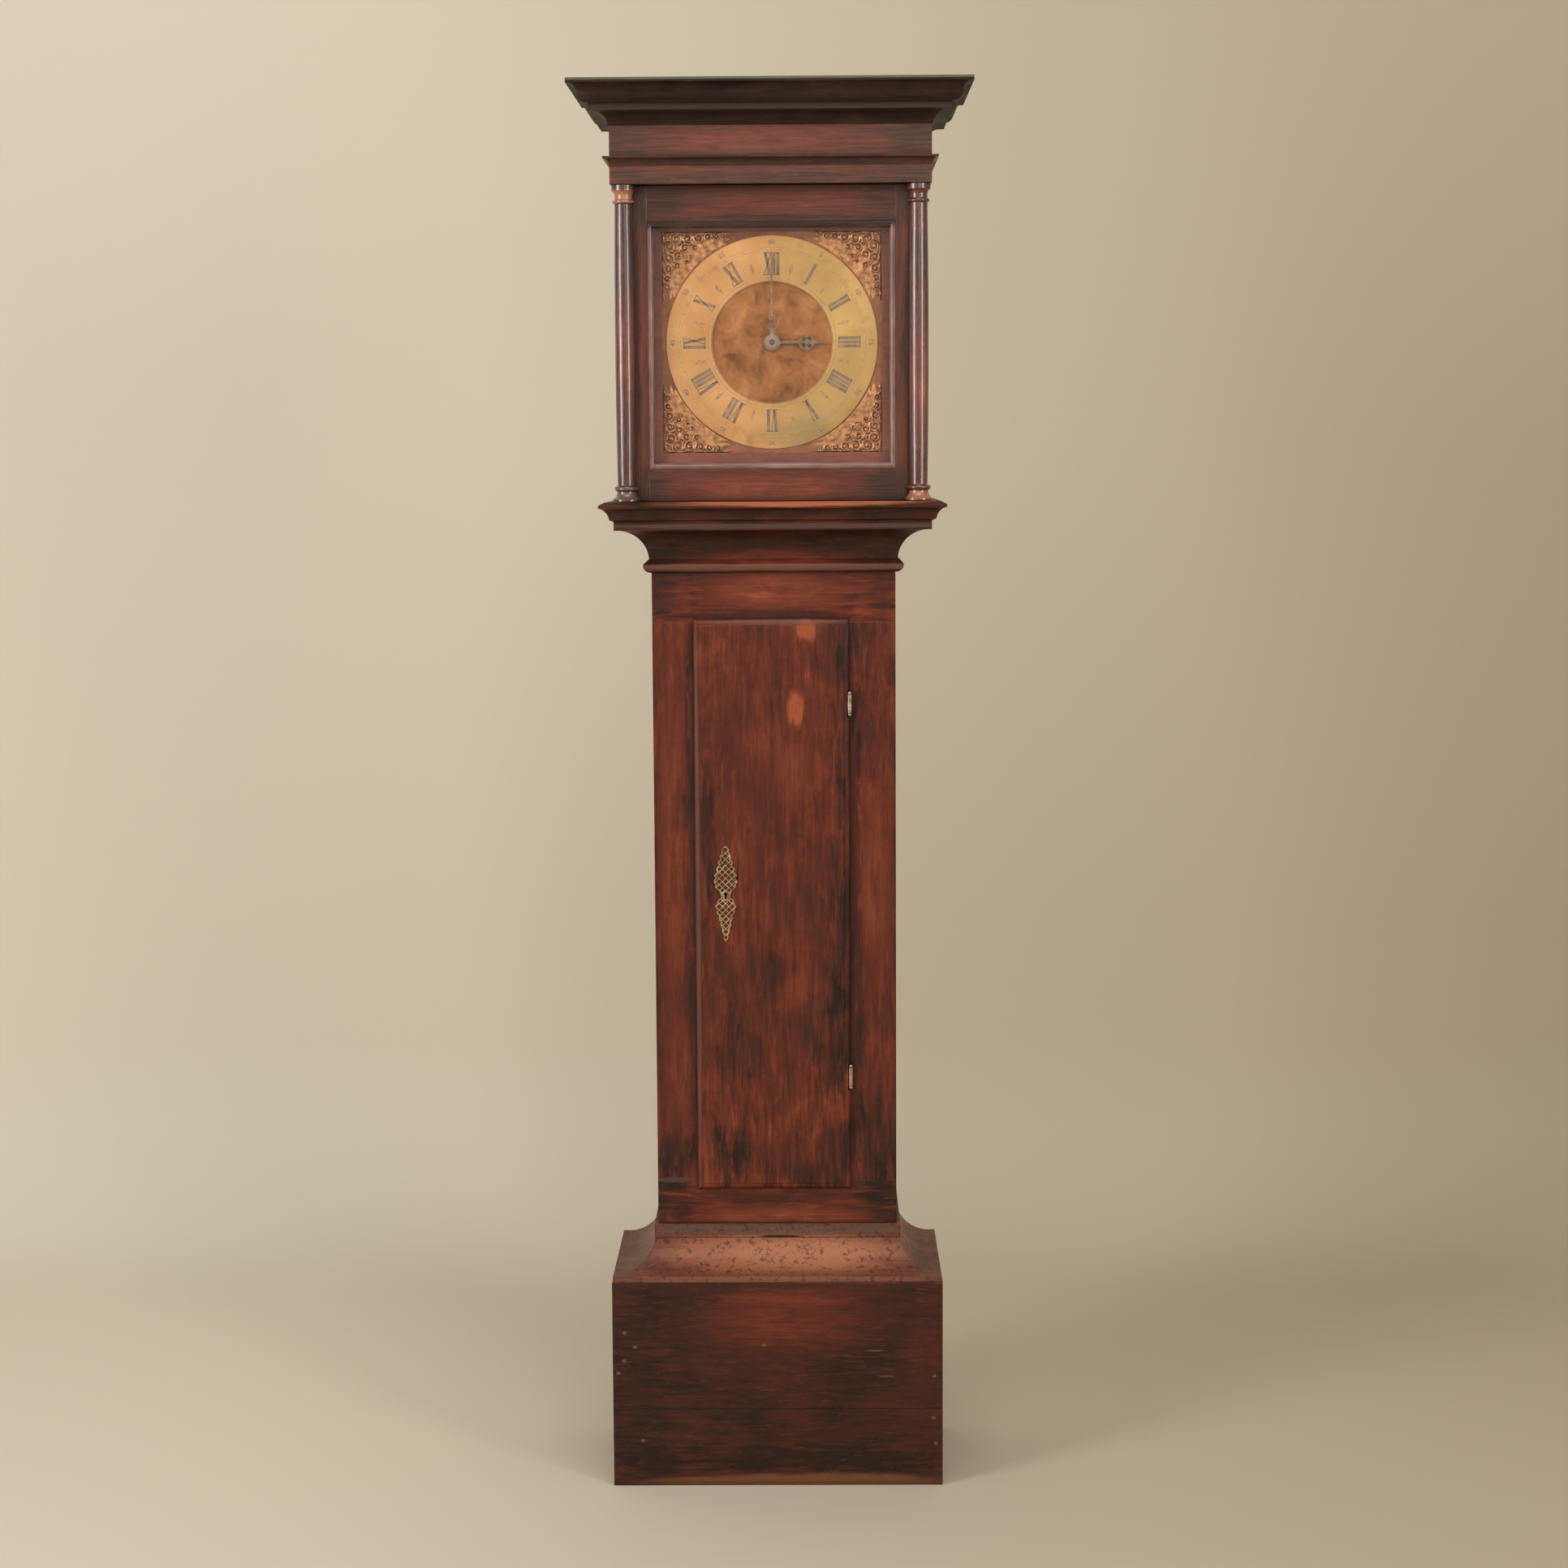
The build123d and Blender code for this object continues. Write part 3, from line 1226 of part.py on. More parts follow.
def count_wheel():
    """Count wheel behind the cage: driving teeth and a notched disc."""
    outline = toothed(count_wheel_teeth, count_module, -90)
    solid = upright(Pos(0, count_z) * outline, (count_wheel_y, count_wheel_y + wheel_thickness))
    disc = Circle(count_disc_radius)
    blows = 0
    for hour in range(1, 13):
        blows += hour
        disc -= Rot(0, 0, blows * 360 / 78) * Pos(count_disc_radius, 0) * Rectangle(2 * count_notch_depth, 2)
    solid += upright(Pos(0, count_z) * disc, (count_wheel_y + wheel_thickness,
                                              count_wheel_y + wheel_thickness + 1.5))
    return [solid - rod(0, count_z, (count_wheel_y - 1, count_wheel_y + 6), 2 + running_clearance)]


def rope_holes(plate):
    """The bottom plate with its two slots for the rope."""
    return plate - rope_slots((cage_bottom - 1, cage_floor + 1))


def post_fronts():
    """Depths at which the front and the rear posts of the cage begin."""
    return [cage_front, cage_back - post_size]


def hammer_arbor_holes():
    """Holes in the two right-hand posts for the hammer's arbor."""
    return [rod(hammer_x, great_z, (y - 1, y + post_size + 1), pivot_radius + running_clearance)
            for y in post_fronts()]


def hammer_slot():
    """Slot in the top plate in which the hammer's shank moves."""
    half = hammer_shank / 2 + 1
    travel = (cage_top - great_z) * sin(radians(hammer_swing))
    return block((hammer_x - half - travel, hammer_x + half), (rope_mid_y - half, rope_mid_y + half),
                 (cage_ceiling - 1, cage_top + 1))


def movement_frame():
    """Bottom and top plates of the cage and its four corner posts."""
    y = (cage_front, cage_back)
    bottom = rope_holes(block((-cage_half, cage_half), y, (cage_bottom, cage_floor)))
    top = block((-cage_half, cage_half), y, (cage_ceiling, cage_top)) - hammer_slot()
    pieces = [bottom, top]
    for x in (-hammer_x, hammer_x):
        for front in post_fronts():
            post = block((x - post_size / 2, x + post_size / 2), (front, front + post_size),
                         (cage_floor, cage_ceiling))
            pieces.append(post - hammer_arbor_holes() if x > 0 else post)
    return pieces


def movement_bars():
    """Front, middle and rear bars that hold the pivots of both trains."""
    z = (cage_floor, cage_ceiling)
    half = bar_width / 2
    arm = 6
    front = block((-half, half), (front_bar_y, front_bar_y + bar_thickness), z)
    front += block((third_x - arm, 0), (front_bar_y, front_bar_y + bar_thickness),
                   (third_z - arm, third_z + arm))
    front += block((0, motion_distance + arm), (front_bar_y, front_bar_y + bar_thickness),
                   (dial_centre_z - arm, dial_centre_z + arm))
    middle = block((-half, half), (middle_bar_y, middle_bar_y + bar_thickness), z)
    middle += block((third_x - arm, 0), (middle_bar_y, middle_bar_y + bar_thickness),
                    (third_z - arm, third_z + arm))
    rear = block((-half, half), (rear_bar_y, rear_bar_y + bar_thickness), z)
    small, large = pivot_radius + running_clearance, main_pivot_radius + running_clearance
    going = [(0, great_z, large), (third_x, third_z, small), (0, escape_z, small), (0, pallet_z, small)]
    striking = [(0, great_z, large), (hoop_x, hoop_z, small), (warning_x, warning_z, small),
                (fly_x, fly_z, small)]
    for x, z_hole, r in going + [(0, dial_centre_z, centre_front_radius + running_clearance)]:
        front -= rod(x, z_hole, (front_bar_y - 1, front_bar_y + bar_thickness + 1), r)
    passing = (0, pallet_z, 2 + arbor_shake)
    for x, z_hole, r in going[:3] + striking[1:] + [(0, dial_centre_z, small), passing]:
        middle -= rod(x, z_hole, (middle_bar_y - 1, middle_bar_y + bar_thickness + 1), r)
    for x, z_hole, r in striking + [passing]:
        rear -= rod(x, z_hole, (rear_bar_y - 1, rear_bar_y + bar_thickness + 1), r)
    front += rod(motion_distance, dial_centre_z, (front_bar_y - 15.5, front_bar_y + 1), minute_stud_radius)
    rear += rod(0, count_z, (rear_bar_y + 1, count_wheel_y + 4.5), 2)
    return [front, middle, rear]


def bell():
    """Thin bell-metal dome."""
    r, t, h = bell_radius, bell_thickness, bell_height
    outer = [Line((0, h), (2.5, h)), ThreePointArc((2.5, h), (r * 0.72, h * 0.72), (r, 0))]
    outline = make_face([*outer, Line((r, 0), (r - t, 0)),
                         ThreePointArc((r - t, 0), ((r - t) * 0.72, (h - t) * 0.72), (2.5, h - t)),
                         Line((2.5, h - t), (0, h - t)), Line((0, h - t), (0, h))])
    dome = Pos(0, rope_mid_y, bell_rim_z) * revolve(Plane.XZ * outline, Axis.Z)
    return [dome - pin(0, rope_mid_y, (bell_rim_z + h - 10, bell_rim_z + h + 1), 2.5)]


def bell_stand():
    """Iron strap from the top plate that carries the bell on a bolt."""
    shelf = cage_top
    crown = bell_rim_z + bell_height
    arm_z = crown + 3
    strap_x = (-cage_half, 4 - cage_half)
    solid = block(strap_x, (rope_mid_y - 6, rope_mid_y + 6), (shelf, arm_z + 3))
    solid += block((-cage_half, 6), (rope_mid_y - 6, rope_mid_y + 6), (arm_z, arm_z + 3))
    solid += pin(0, rope_mid_y, (crown - bell_thickness - 8, arm_z + 1), 2.5)
    return [solid + pin(0, rope_mid_y, (crown - bell_thickness - 5, crown - bell_thickness), 5)]


def hammer():
    """Hammer on an arbor between the right-hand posts: a tail beside the pins, a shank and a head."""
    half = hammer_shank / 2
    front, rear = post_fronts()
    low, high = front + post_size, rear
    solid = rod(hammer_x, great_z, (low + arbor_shake, high - arbor_shake), arbor_radius)
    solid += rod(hammer_x, great_z, (low - post_size / 2, high + post_size / 2), pivot_radius)
    tail_y = strike_wheel_y - 4
    solid += block((hammer_pin_circle + hammer_tail_gap, hammer_x), (tail_y - half, tail_y + half),
                   (great_z - half, great_z + half))
    arm_z = cage_top + hammer_arm_rise
    head_x = bell_radius - bell_thickness - hammer_gap - hammer_head_radius
    y = (rope_mid_y - half, rope_mid_y + half)
    solid += block((hammer_x - half, hammer_x + half), y, (great_z, arm_z + hammer_shank))
    solid += block((head_x, hammer_x), y, (arm_z, arm_z + hammer_shank))
    return [solid + pin(head_x, rope_mid_y, (arm_z, arm_z + hammer_head_height), hammer_head_radius)]


# Rope and weights


def rope():
    """Endless rope over both pulleys, with the weight in one loop and the ring in the other."""
    r = pulley_radius
    top, low, ring_low = great_z, sheave_z, ring_loop_z
    a, b = going_rope_y, strike_rope_y
    path = [ThreePointArc((-r, a, top), (0, a, top + r), (r, a, top)),
            Line((r, a, top), (r, a, low)),
            ThreePointArc((r, a, low), (r, (a + b) / 2, low - sheave_radius), (r, b, low)),
            Line((r, b, low), (r, b, top)),
            ThreePointArc((r, b, top), (0, b, top + r), (-r, b, top)),
            Line((-r, b, top), (-r, b, ring_low)),
            ThreePointArc((-r, b, ring_low), (-r, (a + b) / 2, ring_low - sheave_radius), (-r, a, ring_low)),
            Line((-r, a, ring_low), (-r, a, top))]
    pieces = []
    for edge in path:
        section = Plane(origin=edge @ 0, z_dir=edge % 0) * Circle(rope_radius)
        pieces.append(sweep(section, path=edge))
    whole = pieces[0]
    for piece in pieces[1:]:
        whole += piece
    return [whole]


def weight_pulley():
    """Brass sheave from which the weight hangs."""
    groove = sheave_radius - rope_radius - rope_gap
    flange = groove + 2 * rope_radius + sheave_flange_rise - rope_gap
    half_groove = rope_radius + rope_gap
    x = pulley_radius
    turned = Rot(0, 90, 0)
    solid = Cylinder(flange, sheave_width)
    solid -= Cylinder(flange + 1, 2 * half_groove) - Cylinder(groove, 2 * half_groove)
    solid -= Cylinder(2 + running_clearance, sheave_width + 2)
    return [Pos(x, rope_mid_y, sheave_z) * turned * solid]


def weight_stirrup():
    """Brass stirrup and axle of the weight's pulley."""
    half_gap = sheave_width / 2 + arbor_shake
    x = pulley_radius
    y = (rope_mid_y - stirrup_width / 2, rope_mid_y + stirrup_width / 2)
    bottom = sheave_z - stirrup_drop
    solid = Pos(x, rope_mid_y, sheave_z) * Rot(0, 90, 0) * Cylinder(2, 2 * (half_gap + stirrup_thickness))
    for way in (-1, 1):
        faces = sorted((x + way * half_gap, x + way * (half_gap + stirrup_thickness)))
        solid += block(faces, y, (bottom - stirrup_bridge, sheave_z + 6))
    outer = half_gap + stirrup_thickness
    return [solid + block((x - outer, x + outer), y, (bottom - stirrup_bridge, bottom))]


def weight():
    """Cast driving weight with its hook."""
    top = sheave_z - stirrup_drop - stirrup_bridge - weight_hook_length
    body = Cylinder(weight_radius, weight_height)
    body = chamfer(body.edges().filter_by(GeomType.CIRCLE), 3)
    body = Pos(pulley_radius, rope_mid_y, top - weight_height / 2) * body
    return [body + pin(pulley_radius, rope_mid_y, (top - 1, top + weight_hook_length), 3)]


def ring_weight():
    """Small lead ring that keeps the rope taut."""
    bend = sheave_radius - sqrt(sheave_radius**2 - (ring_weight_thickness / 2)**2)
    centre = ring_loop_z - sheave_radius + rope_radius + bend + rope_gap - ring_weight_hole
    y = (rope_mid_y - ring_weight_thickness / 2, rope_mid_y + ring_weight_thickness / 2)
    hole = rod(-pulley_radius, centre, (y[0] - 1, y[1] + 1), ring_weight_hole)
    return [rod(-pulley_radius, centre, y, ring_weight_radius) - hole]


pieces = [backboard, backboard_spurs, trunk_sides, trunk_front_frame, throat_moulding, seatboard,
          base_front_board, base_sides, base_moulding, hinge_case_leaves, trunk_door, hinge_door_leaves,
          door_escutcheon, door_lock_case, door_lock_bolt, hood_sides, hood_front_rails, hood_frieze,
          hood_base_moulding, hood_string_moulding, hood_cornice, hood_top_board, dial_mask,
          hood_door_frame, hood_door_bead, hood_door_glass, hood_columns, hood_door_pivots, dial_plate,
          chapter_ring, dial_spandrels, movement_frame, movement_bars, pendulum_cock, bell, bell_stand,
          minute_hand, cannon_wheel, hour_hand, hour_wheel, minute_wheel, centre_wheel,
          going_great_wheel, third_wheel, escape_wheel, pallet_anchor, pendulum_rod, pendulum_bob,
          strike_great_wheel, strike_pulley, hoop_wheel, warning_wheel, fly, count_wheel, hammer, rope,
          weight, weight_stirrup, weight_pulley, ring_weight]

os.makedirs("parts", exist_ok=True)
for piece in pieces:
    solids = [solid for shape in piece() for solid in shape.solids()]
    export_step(solids[0] if len(solids) == 1 else Compound(children=solids), f"parts/{piece.__name__}.step")
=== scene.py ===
from math import pi, radians

import bpy
import numpy as np
from mathutils import Matrix, Vector


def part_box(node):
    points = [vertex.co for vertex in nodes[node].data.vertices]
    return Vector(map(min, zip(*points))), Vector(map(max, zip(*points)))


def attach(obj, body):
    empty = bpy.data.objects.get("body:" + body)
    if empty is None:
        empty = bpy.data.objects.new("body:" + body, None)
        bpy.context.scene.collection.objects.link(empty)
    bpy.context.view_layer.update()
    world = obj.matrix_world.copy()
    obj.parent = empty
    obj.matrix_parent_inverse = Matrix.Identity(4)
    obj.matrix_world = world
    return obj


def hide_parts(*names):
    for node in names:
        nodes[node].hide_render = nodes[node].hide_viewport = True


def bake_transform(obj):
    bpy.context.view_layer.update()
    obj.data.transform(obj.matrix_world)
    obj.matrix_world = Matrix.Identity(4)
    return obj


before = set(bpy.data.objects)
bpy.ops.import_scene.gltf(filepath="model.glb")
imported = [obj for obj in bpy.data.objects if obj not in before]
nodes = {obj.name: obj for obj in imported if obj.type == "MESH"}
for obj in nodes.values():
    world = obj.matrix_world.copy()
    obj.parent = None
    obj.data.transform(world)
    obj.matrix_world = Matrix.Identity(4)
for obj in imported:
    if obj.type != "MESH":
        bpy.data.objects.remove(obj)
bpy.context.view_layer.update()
scene = bpy.context.scene
scene.view_settings.view_transform = "Standard"

# The camera stands at head height in front of the dial. The clock stands a hair off plumb in the
# picture, so the camera is rolled by the same amount.
camera = bpy.data.objects.new("camera", bpy.data.cameras.new("camera"))
scene.collection.objects.link(camera)
scene.camera = camera
camera.data.sensor_width = 36
camera.data.lens = 67.47
camera.location = (0.0511, -3.8915, 1.3659)
turn = (Matrix.Rotation(radians(0.579), 3, "Z") @ Matrix.Rotation(radians(90 - 6.397), 3, "X")
        @ Matrix.Rotation(radians(-0.33), 3, "Z"))
camera.rotation_euler = turn.to_euler()


# The room: a pale floor that runs up in one bend into a pale wall, with painted light on it: lighter
# on the window's side, to the left. From behind the wall is clear, so that the back of the clock can
# be looked at too.
def grid_mesh(name, points, wrap=False, back=False):
    """A mesh of quads over a grid of points (rows, columns, 3). wrap joins the last column to the
    first; back closes the sheet behind with one face over its rim."""
    rows, columns = points.shape[:2]
    index = np.arange(rows * columns).reshape(rows, columns)
    left, right = (index, np.roll(index, -1, 1)) if wrap else (index[:, :-1], index[:, 1:])
    quads = np.stack([left[:-1], right[:-1], right[1:], left[1:]], -1).reshape(-1, 4).tolist()
    if back:
        rim = np.concatenate([index[0, :-1], index[:-1, -1], index[-1, :0:-1], index[:0:-1, 0]])
        quads.append(rim[::-1].tolist())
    mesh = bpy.data.meshes.new(name)
    mesh.from_pydata(points.reshape(-1, 3).tolist(), [], quads)
    smooth = np.ones(len(mesh.polygons), bool)
    smooth[-1] = not back
    mesh.polygons.foreach_set("use_smooth", smooth)
    return mesh


def place(name, mesh, material):
    """Puts a finished mesh into the scene with its material."""
    thing = bpy.data.objects.new(name, mesh)
    scene.collection.objects.link(thing)
    mesh.materials.clear()
    mesh.materials.append(material)
    return thing


def painter(name, roughness=0.5, metallic=0.0, **sockets):
    """A node material and a function that adds a node with its inputs, links and settings."""
    material = bpy.data.materials.new(name)
    material.use_nodes = True
    tree = material.node_tree
    shader = tree.nodes["Principled BSDF"]
    for key, value in {"Roughness": roughness, "Metallic": metallic, **sockets}.items():
        shader.inputs[key].default_value = value

    def add(kind, inputs=None, out=0, **settings):
        node = tree.nodes.new("ShaderNode" + kind)
        for key, value in settings.items():
            setattr(node, key, value)
        for key, value in (inputs or {}).items():
            if isinstance(value, bpy.types.NodeSocket):
                tree.links.new(value, node.inputs[key])
            else:
                node.inputs[key].default_value = value
        return node.outputs[out]

    add.wire = lambda socket, key: tree.links.new(socket, shader.inputs[key])
    add.tree = tree
    add.shader = shader
    return material, add


def ramp(add, value, stops):
    """A colour ramp over (position, colour) stops."""
    node = add.tree.nodes.new("ShaderNodeValToRGB")
    band = node.color_ramp
    while len(band.elements) < len(stops):
        band.elements.new(0.5)
    for element, (position, colour) in zip(band.elements, stops):
        element.position = position
        element.color = (*colour, 1)
    add.tree.links.new(value, node.inputs[0])
    return node.outputs[0]


def let_through(add, factor):
    """Mixes the material with a clear one by a factor."""
    mixed = add("MixShader", {0: factor, 1: add.shader.outputs[0], 2: add("BsdfTransparent")})
    add.tree.links.new(mixed, add.tree.nodes["Material Output"].inputs[0])


room_material, add = painter("pale_room", roughness=0.9)
# Painted light: the colour runs from lighter on the left, the window's side, to darker on the right.
across = add("SeparateXYZ", {0: add("TexCoord", out=3)})
across = add("MapRange", {0: across, 1: -1.2, 2: 1.2}, interpolation_type="SMOOTHSTEP")
add.wire(ramp(add, across, [(0.0, (0.72, 0.67, 0.55)), (1.0, (0.53, 0.45, 0.33))]), "Base Color")
let_through(add, add("NewGeometry", out=6))
near_edge, reach, bend_radius, half_width = -7, 0.9, 0.35, 6
sweep = np.linspace(0, 1, 60)
bend_starts, bend_ends, wall_rise = 0.6, 0.7, 17
bend = np.clip((sweep - bend_starts) / (bend_ends - bend_starts), 0, 1) * pi / 2
floor_run = np.where(sweep < bend_starts, near_edge + sweep / bend_starts * (reach - near_edge),
                     reach + bend_radius * np.sin(bend))
floor_rise = bend_radius * (1 - np.cos(bend)) + np.clip(sweep - bend_ends, 0, 1) * wall_rise
room = np.stack(np.broadcast_arrays(np.linspace(-half_width, half_width, 4), floor_run[:, None],
                                    floor_rise[:, None]), -1)
place("room", grid_mesh("room", room), room_material)

# The light: an even room, tall windows to the left and right of the viewer, a soft ceiling, and a
# small lamp behind the viewer's shoulder that glints on the brass.
world = bpy.data.worlds.new("room_light")
scene.world = world
world.use_nodes = True
world.node_tree.nodes["Background"].inputs[0].default_value = (1.0, 0.96, 0.9, 1)
world.node_tree.nodes["Background"].inputs[1].default_value = 0.34


def lamp(name, place_at, look_at, size, power, colour):
    """A soft rectangular lamp turned towards a point."""
    light = bpy.data.lights.new(name, "AREA")
    light.shape = "RECTANGLE"
    light.size, light.size_y = size
    light.energy = power
    light.color = colour
    thing = bpy.data.objects.new(name, light)
    scene.collection.objects.link(thing)
    thing.visible_camera = False
    thing.location = place_at
    thing.rotation_euler = (Vector(look_at) - Vector(place_at)).to_track_quat("-Z", "Y").to_euler()


lamp("window_left", (-2.9, -2.3, 1.9), (0, 0, 1.1), (1.1, 2.0), 68, (1.0, 0.97, 0.93))
lamp("window_right", (2.7, -2.9, 1.8), (0, 0, 1.1), (0.9, 1.8), 44, (1.0, 0.95, 0.88))
lamp("ceiling_soft", (0.2, -2.2, 3.6), (0, 0, 0.9), (2.4, 1.6), 38, (1.0, 0.97, 0.92))
lamp("over_shoulder", (0.55, -2.9, 1.98), (0, 0, 1.45), (0.5, 0.4), 2.2, (1.0, 0.93, 0.82))


# The front frame of the trunk: two stiles and two rails of oak, stained dark and waxed for a long
# time. It is nearly black along the door and at its ends, and red where hands and dusters wore it.
def mask(add, value, low, high):
    """A number from 0 at low to 1 at high, smooth between."""
    return add("MapRange", {0: value, 1: low, 2: high, 3: 0.0, 4: 1.0}, interpolation_type="SMOOTHSTEP")


def sum_of(add, a, factor, b=0.0):
    """The number a times a factor, plus b."""
    return add("Math", {0: a, 1: factor, 2: b}, operation="MULTIPLY_ADD")


def blend_colour(add, factor, a, b):
    """Two colours mixed by a factor."""
    node = add.tree.nodes.new("ShaderNodeMix")
    node.data_type = "RGBA"
    for key, value in ((0, factor), (6, a), (7, b)):
        if isinstance(value, bpy.types.NodeSocket):
            add.tree.links.new(value, node.inputs[key])
        else:
            node.inputs[key].default_value = (*value, 1) if hasattr(value, "__len__") else value
    return node.outputs[2]


def noise(add, where, scale, detail=2.0, **more):
    """A cloudy number round one half."""
    return add("TexNoise", {"Vector": where, "Scale": scale, "Detail": detail, **more})


def emboss(add, height, distance, strength, **more):
    """Gives the material's surface a fine relief."""
    add.wire(add("Bump", {"Height": height, "Distance": distance, "Strength": strength, **more}), "Normal")


def spot(add, x, z, centre_x, centre_z, radius_x, radius_z, ragged):
    """Distance from an oval's centre in units of its radii, made uneven by a noise."""
    dx = sum_of(add, x, 1 / radius_x, -centre_x / radius_x)
    dz = sum_of(add, z, 1 / radius_z, -centre_z / radius_z)
    far = add("VectorMath", {0: add("CombineXYZ", {0: dx, 1: dz, 2: 0.0})}, out=1, operation="LENGTH")
    return add("Math", {0: far, 1: ragged}, operation="ADD")


stained = [(0.0, (0.020, 0.0072, 0.0034)), (0.17, (0.042, 0.0115, 0.0058)), (0.37, (0.074, 0.0150, 0.0068)),
           (0.5, (0.100, 0.0190, 0.0080)), (0.63, (0.134, 0.0260, 0.0112)), (0.83, (0.200, 0.0420, 0.0170)),
           (1.0, (0.330, 0.0780, 0.0270))]


def oak(name, grain="Z", tones=stained, shift=0.0, contrast=1.0, gloss=0.38, shine=0.28, coat=0.04,
        split=None, patches=(), marks=(), dust_and_sheen=0.0, pits=0.0, edge=0.5, crevice_shade=0.022, seed=0.0):
    """Waxed oak. grain is X, Z, or for mitred mouldings (half width, front) of what they go round; split
    gives (axis, low, high): outside that span the grain runs along X. patches lift or lower the tone by
    (x, z, radius x, radius z, strength), an oval in metres, and marks lay a colour on it, named before
    the strength."""
    material, add = painter(name, roughness=gloss, **{"Specular IOR Level": shine, "Coat Weight": coat,
                                                      "Coat Roughness": 0.16})
    where = add("TexCoord", out=3)
    x = add("SeparateXYZ", {0: where})
    y, z = x.node.outputs[1], x.node.outputs[2]

    def choose(factor, a, b):
        node = add.tree.nodes.new("ShaderNodeMix")
        node.data_type = "VECTOR"
        for key, value in ((0, factor), (4, a), (5, b)):
            add.tree.links.new(value, node.inputs[key])
        return node.outputs[1]

    def stretched(direction, amount):
        scale = {"X": (amount, 1, 1), "Y": (1, amount, 1), "Z": (1, 1, amount)}[direction]
        return add("Mapping", {"Vector": where, "Location": (seed, seed * 2, seed * 3), "Scale": scale})

    if split:
        axis, low, high = split
        place_on = add("Math", {0: x}, operation="ABSOLUTE") if axis == "X" else z
        inside = add("Math", {0: add("Math", {0: place_on, 1: low}, operation="GREATER_THAN"),
                              1: add("Math", {0: place_on, 1: high}, operation="LESS_THAN")},
                     operation="MULTIPLY")
    elif isinstance(grain, tuple):
        half, front = grain
        outwards = sum_of(add, add("Math", {0: x}, operation="ABSOLUTE"), 1.0, -half)
        sideways = add("Math", {0: outwards, 1: sum_of(add, y, -1.0, front)}, operation="GREATER_THAN")

    def along(amount):
        if split:
            return choose(inside, stretched("X", amount), stretched("Z", amount))
        if isinstance(grain, tuple):
            return choose(sideways, stretched("X", amount), stretched("Y", amount))
        return stretched(grain, amount)

    run = along(0.14)
    threads = along(0.03)
    figure = noise(add, run, 115.0, 4.0, Roughness=0.6, Distortion=0.5)
    cloud = noise(add, add("Mapping", {"Vector": where, "Location": (seed, 0, seed)}), 10.0, 5.0,
                  Roughness=0.66, Distortion=0.3)
    fibre = noise(add, threads, 520.0, 3.0, Roughness=0.7)
    pores = noise(add, threads, 1300.0, 1.0)
    fleck = noise(add, run, 210.0, 1.0, Distortion=1.2)
    gains = (1.15 * contrast, 1.35 * contrast, 0.45 * contrast)
    level = sum_of(add, figure, gains[0], 0.5 + shift - 0.5 * sum(gains))
    level = sum_of(add, cloud, gains[1], level)
    level = sum_of(add, fibre, gains[2], level)
    ragged = sum_of(add, cloud, 1.2, sum_of(add, figure, 2.4, -1.8))
    for px, pz, rx, rz, strength in patches:
        far = spot(add, x, z, px, pz, rx, rz, ragged)
        level = sum_of(add, mask(add, far, 1.25, 0.45), strength, level)
    colour = ramp(add, level, tones)
    fleck_lines = sum_of(add, mask(add, fleck, 0.62, 0.70), 0.22)
    colour = blend_colour(add, fleck_lines, colour, tones[-2][1])
    # A pale pinkish-grey haze over the colour: part dust and bloom on the wax, part painted sheen.
    if dust_and_sheen:
        dust_and_sheen_haze = sum_of(add, mask(add, fibre, 0.30, 0.70), 0.7 * dust_and_sheen, 0.65 * dust_and_sheen)
        colour = blend_colour(add, dust_and_sheen_haze, colour, (0.27, 0.145, 0.115))
    pore_lines = mask(add, pores, 0.60, 0.72)
    colour = blend_colour(add, sum_of(add, pore_lines, 0.5), colour, tones[0][1])
    rounded = add("Bevel", {"Radius": 0.0016}, samples=6)
    corner = add("VectorMath", {0: rounded, 1: add("NewGeometry", out=1)}, out=1, operation="DOT_PRODUCT")
    worn = add("Math", {0: mask(add, cloud, 0.42, 0.62), 1: mask(add, corner, 0.992, 0.90)},
               operation="MULTIPLY")
    colour = blend_colour(add, sum_of(add, worn, edge), colour, tones[-1][1])
    for mx, mz, rx, rz, tint, strength in marks:
        far = spot(add, x, z, mx, mz, rx, rz, sum_of(add, ragged, 0.3))
        colour = blend_colour(add, sum_of(add, mask(add, far, 1.1, 0.6), strength), colour, tint)
    if pits:
        holes = noise(add, where, 130.0, 5.0, Roughness=0.7)
        colour = blend_colour(add, sum_of(add, mask(add, holes, 0.52, 0.63), pits), colour, tones[0][1])
    # Painted shade: the colour is darkened towards black in corners and coves, wherever near surfaces hem
    # the surface in within the given distance.
    if crevice_shade:
        occlusion_shade = add("AmbientOcclusion", {"Distance": crevice_shade}, out=1, samples=6)
        colour = blend_colour(add, mask(add, occlusion_shade, 0.75, 0.35), colour, [0.5 * c for c in tones[0][1]])
    add.wire(colour, "Base Color")
    rough = sum_of(add, fibre, 0.22, gloss - 0.10)
    add.wire(sum_of(add, mask(add, cloud, 0.65, 0.35), 0.10, rough), "Roughness")
    relief = sum_of(add, cloud, 1.5, sum_of(add, pore_lines, -0.5, fibre))
    emboss(add, relief, 0.0007, 0.35, Normal=rounded)
    return material


def dress(material, *names):
    """Gives carried-over nodes their material."""
    for name in names:
        mesh = nodes[name].data
        mesh.materials.clear()
        mesh.materials.append(material)


